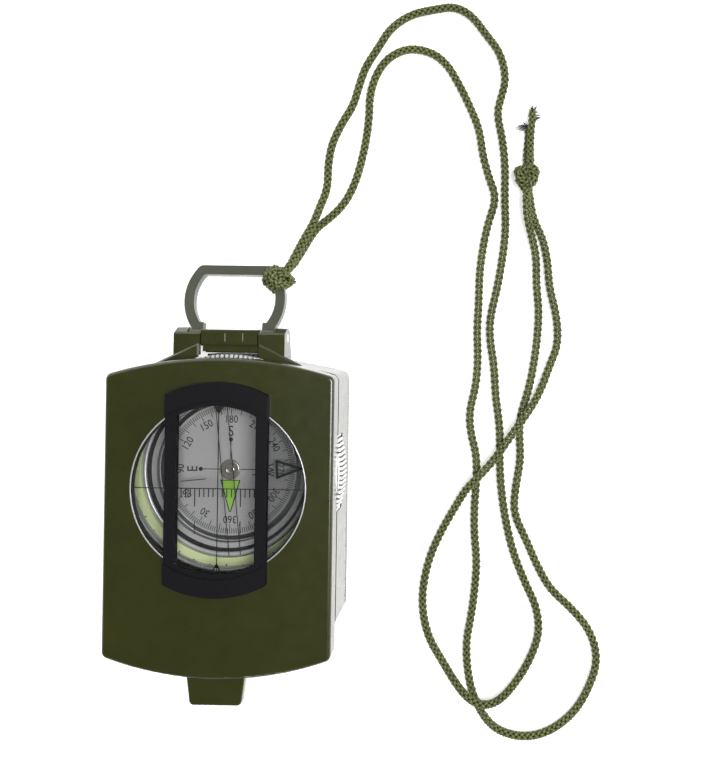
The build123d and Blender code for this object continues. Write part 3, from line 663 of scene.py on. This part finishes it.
def braid_tree():
    """A tubular plain braid that follows a curve: yarns turn both ways and pass over and under each other."""
    tree, f = tree_with(
        "Braid",
        {
            "Route": "Object",
            "Diameter": "Float",
            "Lead": "Float",
            "Yarns": "Int",
            "Width": "Float",
            "Thickness": "Float",
            "Step": "Float",
            "Material": "Material",
        },
    )
    start = f["Lead"]
    route = start.node("GeometryNodeObjectInfo", None, {"Object": f["Route"]}, out="Geometry")
    even = start.node("GeometryNodeResampleCurve", {"mode": "LENGTH"}, {"Curve": route, "Length": f["Step"]})
    length = start.node("GeometryNodeSplineParameter", out="Length")
    tangent = start.node("GeometryNodeInputTangent")
    normal = start.node("GeometryNodeInputNormal")
    across = start.node("ShaderNodeVectorMath", {"operation": "CROSS_PRODUCT"}, {0: tangent, 1: normal})
    ring = start.node("GeometryNodeCurvePrimitiveCircle", None, {"Resolution": 8, "Radius": 0.5})
    flat = start.node("ShaderNodeCombineXYZ", None, {"X": f["Thickness"], "Y": f["Width"], "Z": 1.0})
    section = start.node("GeometryNodeTransform", None, {"Geometry": ring, "Scale": flat})
    index = start.node("GeometryNodeInputIndex")
    section = start.node(
        "GeometryNodeStoreNamedAttribute",
        {"data_type": "FLOAT", "domain": "POINT"},
        {"Geometry": section, "Name": "round", "Value": index / 8.0},
    )
    swing = f["Thickness"] * 0.42
    middle = (f["Diameter"] - f["Thickness"]) * 0.5 - swing
    weave = (length * (2 * math.pi) * f["Yarns"] / f["Lead"]).cosine()
    yarns = []
    for way in (1.0, -1.0):
        bundle = even.node(
            "GeometryNodeDuplicateElements",
            {"domain": "SPLINE"},
            {"Geometry": even, "Amount": f["Yarns"]},
            out="Geometry",
        )
        number = bundle.other("Duplicate Index")
        kept = bundle.node(
            "GeometryNodeStoreNamedAttribute",
            {"data_type": "FLOAT", "domain": "POINT"},
            {"Geometry": bundle, "Name": "along", "Value": length + number * 0.0031},
        )
        angle = length * (2 * math.pi * way) / f["Lead"] + (number * 2 * math.pi) / f["Yarns"]
        one = start.node("ShaderNodeVectorMath", {"operation": "SCALE"}, {0: normal, "Scale": angle.cosine()})
        two = start.node("ShaderNodeVectorMath", {"operation": "SCALE"}, {0: across, "Scale": angle.sine()})
        out = start.node("ShaderNodeVectorMath", {"operation": "ADD"}, {0: one, 1: two})
        # lift: how far out this yarn lies in the weave, from which the yarn finish paints its shade and highlight
        kept = bundle.node(
            "GeometryNodeStoreNamedAttribute",
            {"data_type": "FLOAT", "domain": "POINT"},
            {"Geometry": kept, "Name": "lift", "Value": weave * (0.5 * way) + 0.5},
        )
        held = bundle.node(
            "GeometryNodeStoreNamedAttribute",
            {"data_type": "FLOAT_VECTOR", "domain": "POINT"},
            {"Geometry": kept, "Name": "outward", "Value": out},
        )
        reach = middle + weave * swing * way
        shift = start.node("ShaderNodeVectorMath", {"operation": "SCALE"}, {0: out, "Scale": reach})
        lifted = held.node("GeometryNodeSetPosition", None, {"Geometry": held, "Offset": shift})
        facing = start.node(
            "GeometryNodeInputNamedAttribute", {"data_type": "FLOAT_VECTOR"}, {"Name": "outward"}
        )
        faced = held.node("GeometryNodeSetCurveNormal", {"mode": "FREE"}, {"Curve": lifted, "Normal": facing})
        yarns.append(
            held.node(
                "GeometryNodeCurveToMesh",
                None,
                {"Curve": faced, "Profile Curve": section, "Fill Caps": True},
            )
        )
    join = tree.nodes.new("GeometryNodeJoinGeometry")
    for one in yarns:
        tree.links.new(one.socket, join.inputs[0])
    smooth = start.node("GeometryNodeSetShadeSmooth", None, {"Geometry": Field(tree, join.outputs[0])})
    close_tree(tree, smooth, f["Material"])
    return tree


TREES = {}


def tree_named(make):
    if make not in TREES:
        TREES[make] = make()
    return TREES[make]


# ---------------------------------------------------------------- cord helpers


def spline_object(name, points, twist):
    """A smooth curve object with these control points, in metres."""
    data = bpy.data.curves.new(name, "CURVE")
    data.dimensions, data.twist_mode = "3D", twist
    spline = data.splines.new("NURBS")
    spline.points.add(len(points) - 1)
    for knot, point in zip(spline.points, points):
        knot.co = (*point, 1.0)
    spline.order_u = 3
    spline.use_endpoint_u = True
    spline.resolution_u = data.resolution_u = 10
    route = bpy.data.objects.new(name, data)
    bpy.context.collection.objects.link(route)
    return route


def centreline(route):
    """The points down the middle of a curve."""
    depsgraph = bpy.context.evaluated_depsgraph_get()
    depsgraph.update()
    mesh = bpy.data.meshes.new_from_object(route.evaluated_get(depsgraph), depsgraph=depsgraph)
    line = [tuple(v.co) for v in mesh.vertices]
    bpy.data.meshes.remove(mesh)
    return line


def braided(name, points, body, squeeze=1.0, twist="Z_UP"):
    """A braided cord on a smooth line with these control points, in metres; gives the piece and its line."""
    sizes = bpy.context.scene.compass_cord
    route = spline_object(name + "_route", points, twist)
    line = centreline(route)
    mesh = grown(
        name,
        tree_named(braid_tree),
        {
            "Route": route,
            "Diameter": sizes.diameter * squeeze,
            "Lead": sizes.lead,
            "Yarns": sizes.yarns,
            "Width": sizes.yarn_width,
            "Thickness": sizes.yarn_thick,
            "Step": 0.5 * MM,
            "Material": finish("cord_olive"),
        },
    )
    bpy.data.objects.remove(route)
    return placed(mesh, name, body, "cord_olive"), line


def in_metres(points):
    return [tuple(c * MM for c in point) for point in points]


def tuft(name, tip, lean, body, seed, count=34, length=4.2 * MM, spread=0.9):
    """Frayed filaments that spread from the end of a tail."""
    rng = random.Random(seed)
    data = bpy.data.curves.new(name, "CURVE")
    data.dimensions = "3D"
    data.bevel_depth = 0.085 * MM
    data.bevel_resolution = 0
    for _ in range(count):
        sway = Vector(rng.uniform(-spread, spread) for _ in range(3))
        way = Vector(lean) + sway * Vector((1, 1, 0.45)).length * 0.6
        way.z *= 0.5
        way.normalize()
        bend = Vector((rng.uniform(-0.6, 0.6), rng.uniform(-0.6, 0.6), rng.uniform(-0.3, 0.3)))
        reach = length * rng.uniform(0.35, 1.0)
        base = Vector(tip) + Vector(rng.uniform(-0.8, 0.8) * MM for _ in range(3)) * 0.8
        spline = data.splines.new("POLY")
        spline.points.add(5)
        for i, knot in enumerate(spline.points):
            t = i / 5
            at = base + way * reach * t + bend * reach * t * t * 0.5
            at.z = max(at.z, 0.15 * MM)
            knot.co = (*at, 1.0)
            knot.radius = 1.25 - 0.8 * t
    route = bpy.data.objects.new(name + "_route", data)
    bpy.context.collection.objects.link(route)
    depsgraph = bpy.context.evaluated_depsgraph_get()
    depsgraph.update()
    mesh = bpy.data.meshes.new_from_object(route.evaluated_get(depsgraph), depsgraph=depsgraph)
    bpy.data.objects.remove(route)
    mesh.name = name
    mesh.materials.clear()
    return placed(mesh, name, body, "cord_olive")


# ---------------------------------------------------------------- places from the frame


def centre_of(node):
    low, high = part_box(node)
    return (low + high) / 2


def radius_of(node):
    low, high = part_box(node)
    return (high.x - low.x) / 2


def top_of(node):
    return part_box(node)[1].z


def joint_named(name):
    return next(j for j in frame["joints"] if j["name"] == name)


# ---------------------------------------------------------------- pieces


class COMPASS_OT_finishes(bpy.types.Operator):
    """Make every finish and give it to the frame's parts"""

    bl_idname = "compass.finishes"
    bl_label = "Finishes"

    def execute(self, context):
        c = context.scene.compass_colours
        frame_half = (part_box("sight_frame")[1].x - 3.15 * MM)
        FINISHES.update(
            case_paint=painted("Case paint", tuple(c.paint)),
            ring_paint=painted("Ring paint", tuple(c.ring), rough=0.4),
            frame_black=crackle("Crackle black", (0.0035, 0.0035, 0.005)),
            cover_black=moulded("Cover black", (0.02, 0.02, 0.02), 0.6, 1200.0, 0.05 * MM),
            cup_black=metal("Capsule silver", (0.40, 0.405, 0.40), 0.42, 0.25, scale=500.0),
            seal_rubber=moulded("Seal rubber", (0.012, 0.012, 0.012), 0.7),
            screw_steel=metal("Screw steel", (0.42, 0.42, 0.43), 0.3),
            pin_steel=metal("Pin steel", (0.5, 0.5, 0.5), 0.22, stretch=(0.1, 1.0, 1.0)),
            bezel_alloy=metal("Bezel alloy", (0.86, 0.87, 0.87), 0.3, 0.35, scale=700.0),
            lume_green=moulded("Luminous compound", tuple(c.lume), 0.55, 1500.0),
            card_silver=metal("Card face", tuple(c.card), 0.62, 0.15, scale=1400.0),
            jewel_brass=metal("Jewel cap", (0.36, 0.35, 0.30), 0.28, 0.75),
            clear_glass=clear("Clear glass", 0.004),
            # the window pane carries painted shade outside the sight frame's width, mostly on its right
            window_pane=clear("Window pane", 0.006, (0.02, 0.022, 0.022), painted_shade_beyond=frame_half),
            cord_olive=yarn("Cord yarn", tuple(c.cord)),
            ink=moulded("Printed black", (0.008, 0.008, 0.009), 0.5),
            arrow=moulded("Arrow green", tuple(c.arrow), 0.5),
            edge_steel=metal("Polished edge", (0.55, 0.56, 0.56), 0.38, 0.5),
            # the bezel body carries painted shade in the knurl's grooves outside this radius
            bezel_body=knurled("Bezel body", (0.8, 0.81, 0.81), radius_of("bezel_ring") - 0.75 * MM),
        )
        slots = {row["node"]: row["material_slot"] for row in frame["record"]["subparts"]}
        slots["lid_window"] = "window_pane"
        slots["bezel_ring"] = "bezel_body"
        for node, piece in frame["nodes"].items():
            piece.data.materials.clear()
            piece.data.materials.append(finish(slots[node]))
        return {"FINISHED"}


def ink_on(name, outlines, low, body, slot="ink", thick=None):
    thick = (thick or bpy.context.scene.compass_sizes.ink) / MM
    low = low / MM
    return placed(prisms(name, outlines, low, low + thick), name, body, slot)


def lettering(name, words, body, height, low):
    """Words as one thin mesh: each is (text, x, y, turn) in millimetres."""
    meshes = []
    for text, x, y, turn in words:
        data = bpy.data.curves.new(name, "FONT")
        data.body, data.size = text, height
        data.align_x = data.align_y = "CENTER"
        data.extrude = bpy.context.scene.compass_sizes.ink / 2
        data.resolution_u = 3
        data.offset = 0.012 * MM
        holder = bpy.data.objects.new(name, data)
        bpy.context.collection.objects.link(holder)
        depsgraph = bpy.context.evaluated_depsgraph_get()
        depsgraph.update()
        mesh = bpy.data.meshes.new_from_object(holder.evaluated_get(depsgraph), depsgraph=depsgraph)
        bpy.data.objects.remove(holder)
        spot = Matrix.Translation((x * MM, y * MM, low))
        place = spot @ Matrix.Rotation(turn, 4, "Z") @ Matrix.Diagonal((0.86, 1, 1, 1))
        mesh.transform(place)
        meshes.append(mesh)
    verts, faces = [], []
    for mesh in meshes:
        base = len(verts)
        verts += [tuple(v.co) for v in mesh.vertices]
        faces += [[base + i for i in p.vertices] for p in mesh.polygons]
        bpy.data.meshes.remove(mesh)
    mesh = bpy.data.meshes.new(name)
    mesh.from_pydata(verts, [], faces)
    mesh.update()
    return placed(mesh, name, body, "ink")


class COMPASS_OT_card(bpy.types.Operator):
    """Scale, numerals, letters and north arrow of the floating card"""

    bl_idname = "compass.card"
    bl_label = "Card"

    def execute(self, context):
        sizes = context.scene.compass_sizes
        face = top_of("dial_card")
        edge = radius_of("dial_card") - 0.6 * MM
        marks = grown(
            "card_scale",
            tree_named(ring_of_marks),
            {
                "Count": sizes.card_marks,
                "Radius": edge,
                "Short": 1.5 * MM,
                "Long": 2.7 * MM,
                "Every": sizes.card_marks // 36,
                "Width": sizes.tick,
                "Low": face,
                "High": face + sizes.ink,
                "Sides": 4,
                "Material": finish("ink"),
            },
        )
        placed(marks, "card_scale", "dial", "ink")
        words = []
        for value in range(30, 361, 30):
            angle = math.radians(270 - value)
            words.append((str(value), 14.5 * math.cos(angle), 14.5 * math.sin(angle), angle - math.pi / 2))
        lettering("card_numerals", words, "dial", sizes.numeral, face + sizes.ink / 2)
        letters = []
        for text, value in (("S", 180), ("E", 90), ("W", 270)):
            angle = math.radians(270 - value)
            letters.append((text, 11.0 * math.cos(angle), 11.0 * math.sin(angle), angle - math.pi / 2))
        lettering("card_letters", letters, "dial", sizes.letter, face + sizes.ink / 2)
        cap = radius_of("jewel_cap") / MM
        outlines = []
        for angle in (0.0, math.pi / 2, math.pi):
            reach = turned([dot((8.7, 0), 0.62), stroke((cap, 0), (8.7, 0), 0.24)], angle)
            outlines += reach
        outlines += [stroke((-2.75, -3.2), (-0.15, -12.4), 0.3), stroke((2.75, -3.2), (0.15, -12.4), 0.3)]
        outlines.append(stroke((-2.9, -3.2), (2.9, -3.2), 0.25))
        ink_on("card_lines", outlines, face, "dial")
        arrow = [[(-2.6, -3.3), (0, -12.2), (2.6, -3.3)]]
        ink_on("north_arrow", arrow, face, "dial", "arrow", sizes.ink * 0.8)
        rim = radius_of("dial_card") / MM
        low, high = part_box("dial_card")
        top = high.z / MM
        profile = [(rim - 0.25, top), (rim - 0.25, top + 0.12), (rim - 0.05, top + 0.12), (rim - 0.05, top)]
        placed(lathe("card_rim", profile), "card_rim", "dial", "edge_steel")
        cap_top = top_of("jewel_cap") / MM
        ring = [(0.55, cap_top - 0.1), (0.55, cap_top + 0.18), (1.25, cap_top + 0.1), (1.5, cap_top - 0.1)]
        placed(lathe("jewel_boss", ring, steps=48), "jewel_boss", "dial", "jewel_brass")
        return {"FINISHED"}


class COMPASS_OT_bezel(bpy.types.Operator):
    """Knurl, luminous marks and printed lines of the turning bezel"""

    bl_idname = "compass.bezel"
    bl_label = "Bezel"

    def execute(self, context):
        sizes = context.scene.compass_sizes
        low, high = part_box("bezel_ring")
        rim = radius_of("bezel_ring")
        teeth = grown(
            "bezel_knurl",
            tree_named(ring_of_marks),
            {
                "Count": sizes.bezel_teeth,
                "Radius": rim + 0.14 * MM,
                "Short": 0.8 * MM,
                "Long": 0.8 * MM,
                "Every": 1,
                "Width": 0.72 * MM,
                "Low": low.z + 0.55 * MM,
                "High": high.z + 0.03 * MM,
                "Sides": 8,
                "Material": finish("bezel_alloy"),
            },
        )
        placed(teeth, "bezel_knurl", "bezel", "bezel_alloy")
        lume = top_of("luminous_ring")
        marks = grown(
            "luminous_marks",
            tree_named(ring_of_marks),
            {
                "Count": 36,
                "Radius": radius_of("luminous_ring") - 0.5 * MM,
                "Short": 0.75 * MM,
                "Long": 1.1 * MM,
                "Every": 3,
                "Width": 0.3 * MM,
                "Low": lume,
                "High": lume + sizes.ink,
                "Sides": 4,
                "Material": finish("ink"),
            },
        )
        placed(marks, "luminous_marks", "bezel", "ink")
        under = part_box("bezel_glass")[0].z - sizes.ink
        line = sizes.hairline / MM
        reach = 24.3
        outlines = [stroke((x, -reach), (x, reach), line * 0.85) for x in (-1.65, 1.65)]
        outlines += [stroke((-13.7, -1.7), (-6.4, -1.7), 0.22), stroke((7.0, -1.7), (13.7, -1.7), 0.22)]
        outlines = turned(outlines, sizes.bezel_turn)
        corners = [(14.3, 2.35), (14.3, -2.35), (21.2, 0.0)]
        arrow = [stroke(a, b, 0.75) for a, b in zip(corners, corners[1:] + corners[:1])]
        arrow += [dot(corner, 0.37, 12) for corner in corners]
        outlines += turned(arrow, sizes.bezel_turn * 0.45)
        ink_on("bezel_lines", outlines, under, "bezel")
        glass_r, glass_top = radius_of("bezel_glass") / MM, top_of("bezel_glass") / MM
        lip = [
            (glass_r - 0.7, glass_top),
            (glass_r - 0.5, glass_top + 0.16),
            (glass_r + 0.1, glass_top + 0.16),
            (glass_r + 0.1, glass_top - 0.05),
        ]
        placed(lathe("bezel_lip", lip), "bezel_lip", "bezel", "edge_steel")
        return {"FINISHED"}


class COMPASS_OT_capsule(bpy.types.Operator):
    """Bright rim and dark edge line round the capsule's glass"""

    bl_idname = "compass.capsule"
    bl_label = "Capsule"

    def execute(self, context):
        glass_r, glass_top = radius_of("capsule_glass") / MM, top_of("capsule_glass") / MM
        line = [
            (glass_r - 0.3, glass_top),
            (glass_r - 0.3, glass_top + 0.05),
            (glass_r - 0.05, glass_top + 0.05),
            (glass_r - 0.05, glass_top),
        ]
        placed(lathe("capsule_edge_line", line), "capsule_edge_line", "case", "seal_rubber")
        cup_r = radius_of("capsule_cup") / MM
        rim = [
            (cup_r - 1.0, glass_top),
            (cup_r - 0.9, glass_top + 0.14),
            (cup_r - 0.3, glass_top + 0.14),
            (cup_r - 0.15, glass_top),
        ]
        placed(lathe("capsule_rim", rim), "capsule_rim", "case", "edge_steel")
        inner = cup_r - 3.6
        step = [(inner - 0.3, 13.2), (inner - 0.3, 13.5), (inner + 0.02, 13.7), (inner + 0.02, 13.2)]
        placed(lathe("capsule_step", step), "capsule_step", "case", "cup_black")
        return {"FINISHED"}


class COMPASS_OT_window(bpy.types.Operator):
    """Sighting lines and scale on the lid's window"""

    bl_idname = "compass.window"
    bl_label = "Window"

    def execute(self, context):
        sizes = context.scene.compass_sizes
        middle = centre_of("lid_window")
        pane_r, pane_top = radius_of("lid_window") / MM, top_of("lid_window")
        y = middle.y / MM
        line = sizes.hairline / MM
        outlines = [
            stroke((0, -pane_r + 1.0), (0, pane_r - 1.0), line),
            stroke((-pane_r + 0.9, 0), (pane_r - 0.9, 0), line),
            [(-1.5, 22.8), (0, 20.6), (1.5, 22.8)],
            [(-0.55, -22.0), (0, -20.2), (0.55, -22.0)],
            stroke((-0.25, -21.2), (-1.5, -24.0), 0.28),
            stroke((0.25, -21.2), (1.5, -24.0), 0.28),
            stroke((-0.55, -21.8), (-0.65, -24.0), 0.18),
            stroke((0.55, -21.8), (0.65, -24.0), 0.18),
        ]
        reach = 5 * sizes.window_pitch / MM
        outlines += [stroke((x, -8.9), (x, -12.7), 0.26) for x in (-reach, reach)]
        ink_on("window_lines", moved(outlines, 0, y), pane_top, "lid")
        count = 17
        marks = grown(
            "window_scale",
            tree_named(row_of_marks),
            {
                "Count": count,
                "Pitch": sizes.window_pitch,
                "Short": 2.35 * MM,
                "Long": 5.0 * MM,
                "Every": 5,
                "Offset": 2,
                "Width": 0.3 * MM,
                "Thickness": sizes.ink,
                "Material": finish("ink"),
            },
        )
        half = (count - 1) / 2 * sizes.window_pitch
        marks.transform(Matrix.Translation((-half, middle.y, pane_top + sizes.ink / 2)))
        placed(marks, "window_scale", "lid", "ink")
        top = pane_top / MM
        rim = [
            (pane_r - 0.4, top),
            (pane_r - 0.3, top + 0.05),
            (pane_r + 0.02, top + 0.07),
            (pane_r + 0.02, top),
        ]
        placed(lathe("window_rim", rim, (0, y), 128), "window_rim", "lid", "edge_steel")
        return {"FINISHED"}


class COMPASS_OT_ruler(bpy.types.Operator):
    """Raised ruler along the case's right wall"""

    bl_idname = "compass.ruler"
    bl_label = "Ruler"

    def execute(self, context):
        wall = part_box("bottom_cover")[1].x + 0.6 * MM
        marks = grown(
            "case_ruler",
            tree_named(row_of_marks),
            {
                "Count": 68,
                "Pitch": 1.0 * MM,
                "Short": 1.4 * MM,
                "Long": 2.6 * MM,
                "Every": 5,
                "Offset": 0,
                "Width": 0.3 * MM,
                "Thickness": 0.24 * MM,
                "Material": finish("case_paint"),
            },
        )
        upright = Matrix(((0, 0, 1, 0), (-1, 0, 0, 0), (0, -1, 0, 0), (0, 0, 0, 1)))
        marks.transform(Matrix.Translation((wall, 0.0255, 1.4 * MM)) @ upright)
        placed(marks, "case_ruler", "case", "case_paint")
        return {"FINISHED"}


def ring_frame():
    """The thumb ring's own frame at rest: its pin is the origin and the ring points along +Y."""
    pin = Vector(joint_named("ring_hinge")["pos_m"])
    return Matrix.Translation(pin) @ Matrix.Rotation(math.radians(-10), 4, "X")


class COMPASS_OT_lanyard(bpy.types.Operator):
    """The braided cord: hitch, two strands, end knot, tails and frayed ends"""

    bl_idname = "compass.lanyard"
    bl_label = "Lanyard"

    def execute(self, context):
        knot = self.end_knot()
        self.necks()
        tails = [
            braided("braid_tail_long", in_metres(TAIL_LONG), "case", 0.96)[0],
            braided("braid_tail_short", in_metres(TAIL_SHORT), "case", 0.96)[0],
        ]
        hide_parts("cord_tail_long")
        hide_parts("cord_tail_short")
        long_tip, short_tip = Vector(in_metres(TAIL_LONG)[-1]), Vector(in_metres(TAIL_SHORT)[-1])
        side_tip = long_tip + Vector((0.3 * MM, -1.6 * MM, 0))
        frays = [
            tuft("fray_long", long_tip, (0.25, 0.6, -0.1), "case", 3, 40, 2.6 * MM, 0.9),
            tuft("fray_short", short_tip, (-0.9, 0.1, 0.1), "case", 8, 34, 4.4 * MM, 0.5),
            tuft("fray_side", side_tip, (0.95, -0.1, 0), "case", 5, 16, 3.2 * MM, 0.45),
        ]
        hitch = self.hitch()
        for name, points in (("cord_strand_over", STRAND_OVER), ("cord_strand_under", STRAND_UNDER)):
            strand, line = braided(name.replace("cord", "braid"), in_metres(points), None)
            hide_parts(name)
            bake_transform(strand)
        return {"FINISHED"}

    def necks(self):
        """Short lengths that carry the strands and tails on into the end knot."""
        middle = centre_of("cord_end_knot")
        for name, route, end in (
            ("braid_neck_over", STRAND_OVER, -1),
            ("braid_neck_under", STRAND_UNDER, -1),
            ("braid_neck_long", TAIL_LONG, 0),
            ("braid_neck_short", TAIL_SHORT, 0),
        ):
            tip = Vector(route[end]) * MM
            near = Vector(route[-2 if end else 1]) * MM
            away = (tip - near).normalized()
            path = [tip - away * 0.6 * MM, tip + away * 1.2 * MM, tip.lerp(middle, 0.6), middle]
            braided(name, [tuple(p) for p in path], "case", 0.97)

    def end_knot(self):
        """Overhand knot of both strands, as a tight three-lobed turn with a second turn inside it."""
        middle = centre_of("cord_end_knot")
        lines = []
        for size, lift, spin in ((1.08, 1.9, 0.0), (0.86, 1.7, math.pi / 3)):
            points = []
            for i in range(26):
                t = 2 * math.pi * i / 24
                lobe = Vector((math.sin(t) + 2 * math.sin(2 * t), math.cos(t) - 2 * math.cos(2 * t)))
                lobe.rotate(Matrix.Rotation(spin, 2))
                shift = Vector((lobe.x * size, lobe.y * size * 1.1, -lift * math.sin(3 * t))) * MM
                points.append(tuple(middle + shift))
            lines.append(points)
        main, _ = braided("braid_end_knot", lines[0], "case", 0.98, "MINIMUM")
        braided("braid_knot_core", lines[1], "case", 1.0, "MINIMUM")
        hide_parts("cord_end_knot")
        return main

    def hitch(self):
        """Turns of the cord round the ring's corner, with a riding turn across them."""
        place = ring_frame()
        corner = Vector((11.9 * MM, 17.3 * MM, 0))
        lie = Matrix.Translation(corner) @ Matrix.Rotation(math.radians(-40), 4, "Z")
        turns, steps = 3.0, 36
        points = []
        for i in range(steps + 1):
            t = i / steps
            angle = 2 * math.pi * turns * t + 0.8
            along = (t - 0.5) * 5.2
            points.append((along, 2.75 * math.cos(angle), 2.45 * math.sin(angle)))
        riding = [
            (-2.4, 2.2, 2.2), (-1.5, 0.6, 3.6), (0.4, -0.8, 3.9),
            (2.2, -1.0, 3.0), (3.6, 0.6, 1.0), (3.2, 3.2, -0.6),
        ]
        back = [
            (3.2, 1.8, -1.6), (1.0, 3.2, -2.3), (-1.4, 3.1, -2.2),
            (-3.2, 2.2, -1.0), (-3.4, 0.4, 1.6), (-1.8, -1.6, 3.2),
        ]
        pieces = []
        routes = (("braid_hitch", points), ("braid_hitch_rider", riding), ("braid_hitch_back", back))
        for name, path in routes:
            line = [tuple(place @ lie @ (Vector(p) * MM)) for p in path]
            pieces.append(braided(name, line, "ring", 0.98, "MINIMUM")[0])
        knuckle = place @ corner
        for name, route in (("braid_root_over", STRAND_OVER), ("braid_root_under", STRAND_UNDER)):
            tip, after = Vector(route[0]) * MM, Vector(route[1]) * MM
            away = (tip - after).normalized()
            path = [tip - away * 0.5 * MM, tip + away * 1.0 * MM, tip.lerp(knuckle, 0.65), knuckle]
            braided(name, [tuple(p) for p in path], "ring", 0.97)
        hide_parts("cord_hitch")
        return pieces[0]


class COMPASS_OT_stage(bpy.types.Operator):
    """Floor, even light and camera"""

    bl_idname = "compass.stage"
    bl_label = "Stage"

    def execute(self, context):
        stage = context.scene.compass_stage
        reach = 4.0
        mesh = bpy.data.meshes.new("floor")
        corners = [(-reach, -reach, 0), (reach, -reach, 0), (reach, reach, 0), (-reach, reach, 0)]
        mesh.from_pydata(corners, [], [(0, 1, 2, 3)])
        floor = bpy.data.objects.new("floor", mesh)
        context.collection.objects.link(floor)
        white = moulded("Floor white", (0.9, 0.9, 0.9), 0.9, 60.0, 0.0)
        lit = white.node_tree.nodes["Principled BSDF"].inputs
        lit["Emission Color"].default_value = (1, 1, 1, 1)
        lit["Emission Strength"].default_value = stage.floor_glow
        mesh.materials.append(white)
        world = bpy.data.worlds.new("Even light")
        context.scene.world = world
        world.use_nodes = True
        sky = world.node_tree.nodes["Background"]
        way = Field(world.node_tree, None).node("ShaderNodeTexCoord", out="Generated")
        height = way.node("ShaderNodeSeparateXYZ", None, {"Vector": way}, out=2)
        fade = (height * 1.25).held().power(0.8)
        feed(world.node_tree, sky.inputs["Color"], two_tone(fade, (1, 1, 1), (0.05, 0.05, 0.05)))
        sky.inputs["Strength"].default_value = stage.sky
        for name, place, power, size, aim in (
            ("key", (0.34, 0.06, 0.85), 9.0, 0.4, (0.0, 0.0, 0.0)),
            ("left", (-0.8, 0.7, 0.6), 5.0, 1.2, (0.0, 0.0, 0.0)),
            ("right", (0.9, 0.25, 0.45), 1.2, 0.9, (0.03, 0.0, 0.0)),
        ):
            lamp = bpy.data.lights.new(name, "AREA")
            lamp.energy, lamp.size = power, size
            light = bpy.data.objects.new(name, lamp)
            context.collection.objects.link(light)
            light.location = place
            light.rotation_euler = (Vector(aim) - Vector(place)).to_track_quat("-Z", "Y").to_euler()
        view = bpy.data.cameras.new("camera")
        view.sensor_fit, view.sensor_width, view.lens = "HORIZONTAL", 36.0, stage.lens
        view.shift_x, view.shift_y = stage.shift
        view.clip_start, view.clip_end = 0.01, 20.0
        camera = bpy.data.objects.new("camera", view)
        context.collection.objects.link(camera)
        camera.location, camera.rotation_euler = stage.eye, stage.tilt
        context.scene.camera = camera
        context.scene.cycles.transparent_max_bounces = 32
        context.scene.view_settings.view_transform = "Standard"
        return {"FINISHED"}


STEPS = (
    COMPASS_OT_finishes,
    COMPASS_OT_card,
    COMPASS_OT_bezel,
    COMPASS_OT_capsule,
    COMPASS_OT_window,
    COMPASS_OT_ruler,
    COMPASS_OT_lanyard,
    COMPASS_OT_stage,
)


class COMPASS_PT_panel(bpy.types.Panel):
    """Sidebar panel that lists the pieces"""

    bl_idname = "COMPASS_PT_panel"
    bl_label = "Sighting compass"
    bl_space_type = "VIEW_3D"
    bl_region_type = "UI"
    bl_category = "Compass"

    def draw(self, context):
        for step in STEPS:
            self.layout.operator(step.bl_idname)
        for group in ("compass_sizes", "compass_cord", "compass_colours", "compass_stage"):
            settings = getattr(context.scene, group)
            for name in settings.__annotations__:
                self.layout.prop(settings, name)


GROUPS = {
    "compass_sizes": CompassSizes,
    "compass_cord": CordSizes,
    "compass_colours": Colours,
    "compass_stage": StageSizes,
}


def register():
    for kind in (*GROUPS.values(), *STEPS, COMPASS_PT_panel):
        bpy.utils.register_class(kind)
    for name, kind in GROUPS.items():
        setattr(bpy.types.Scene, name, bpy.props.PointerProperty(type=kind))


def unregister():
    for name in GROUPS:
        delattr(bpy.types.Scene, name)
    for kind in (COMPASS_PT_panel, *reversed(STEPS), *GROUPS.values()):
        bpy.utils.unregister_class(kind)


def main():
    register()
    bpy.ops.compass.finishes()
    bpy.ops.compass.card()
    bpy.ops.compass.bezel()
    bpy.ops.compass.capsule()
    bpy.ops.compass.window()
    bpy.ops.compass.ruler()
    bpy.ops.compass.lanyard()
    bpy.ops.compass.stage()
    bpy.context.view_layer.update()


if __name__ == "__main__":
    main()
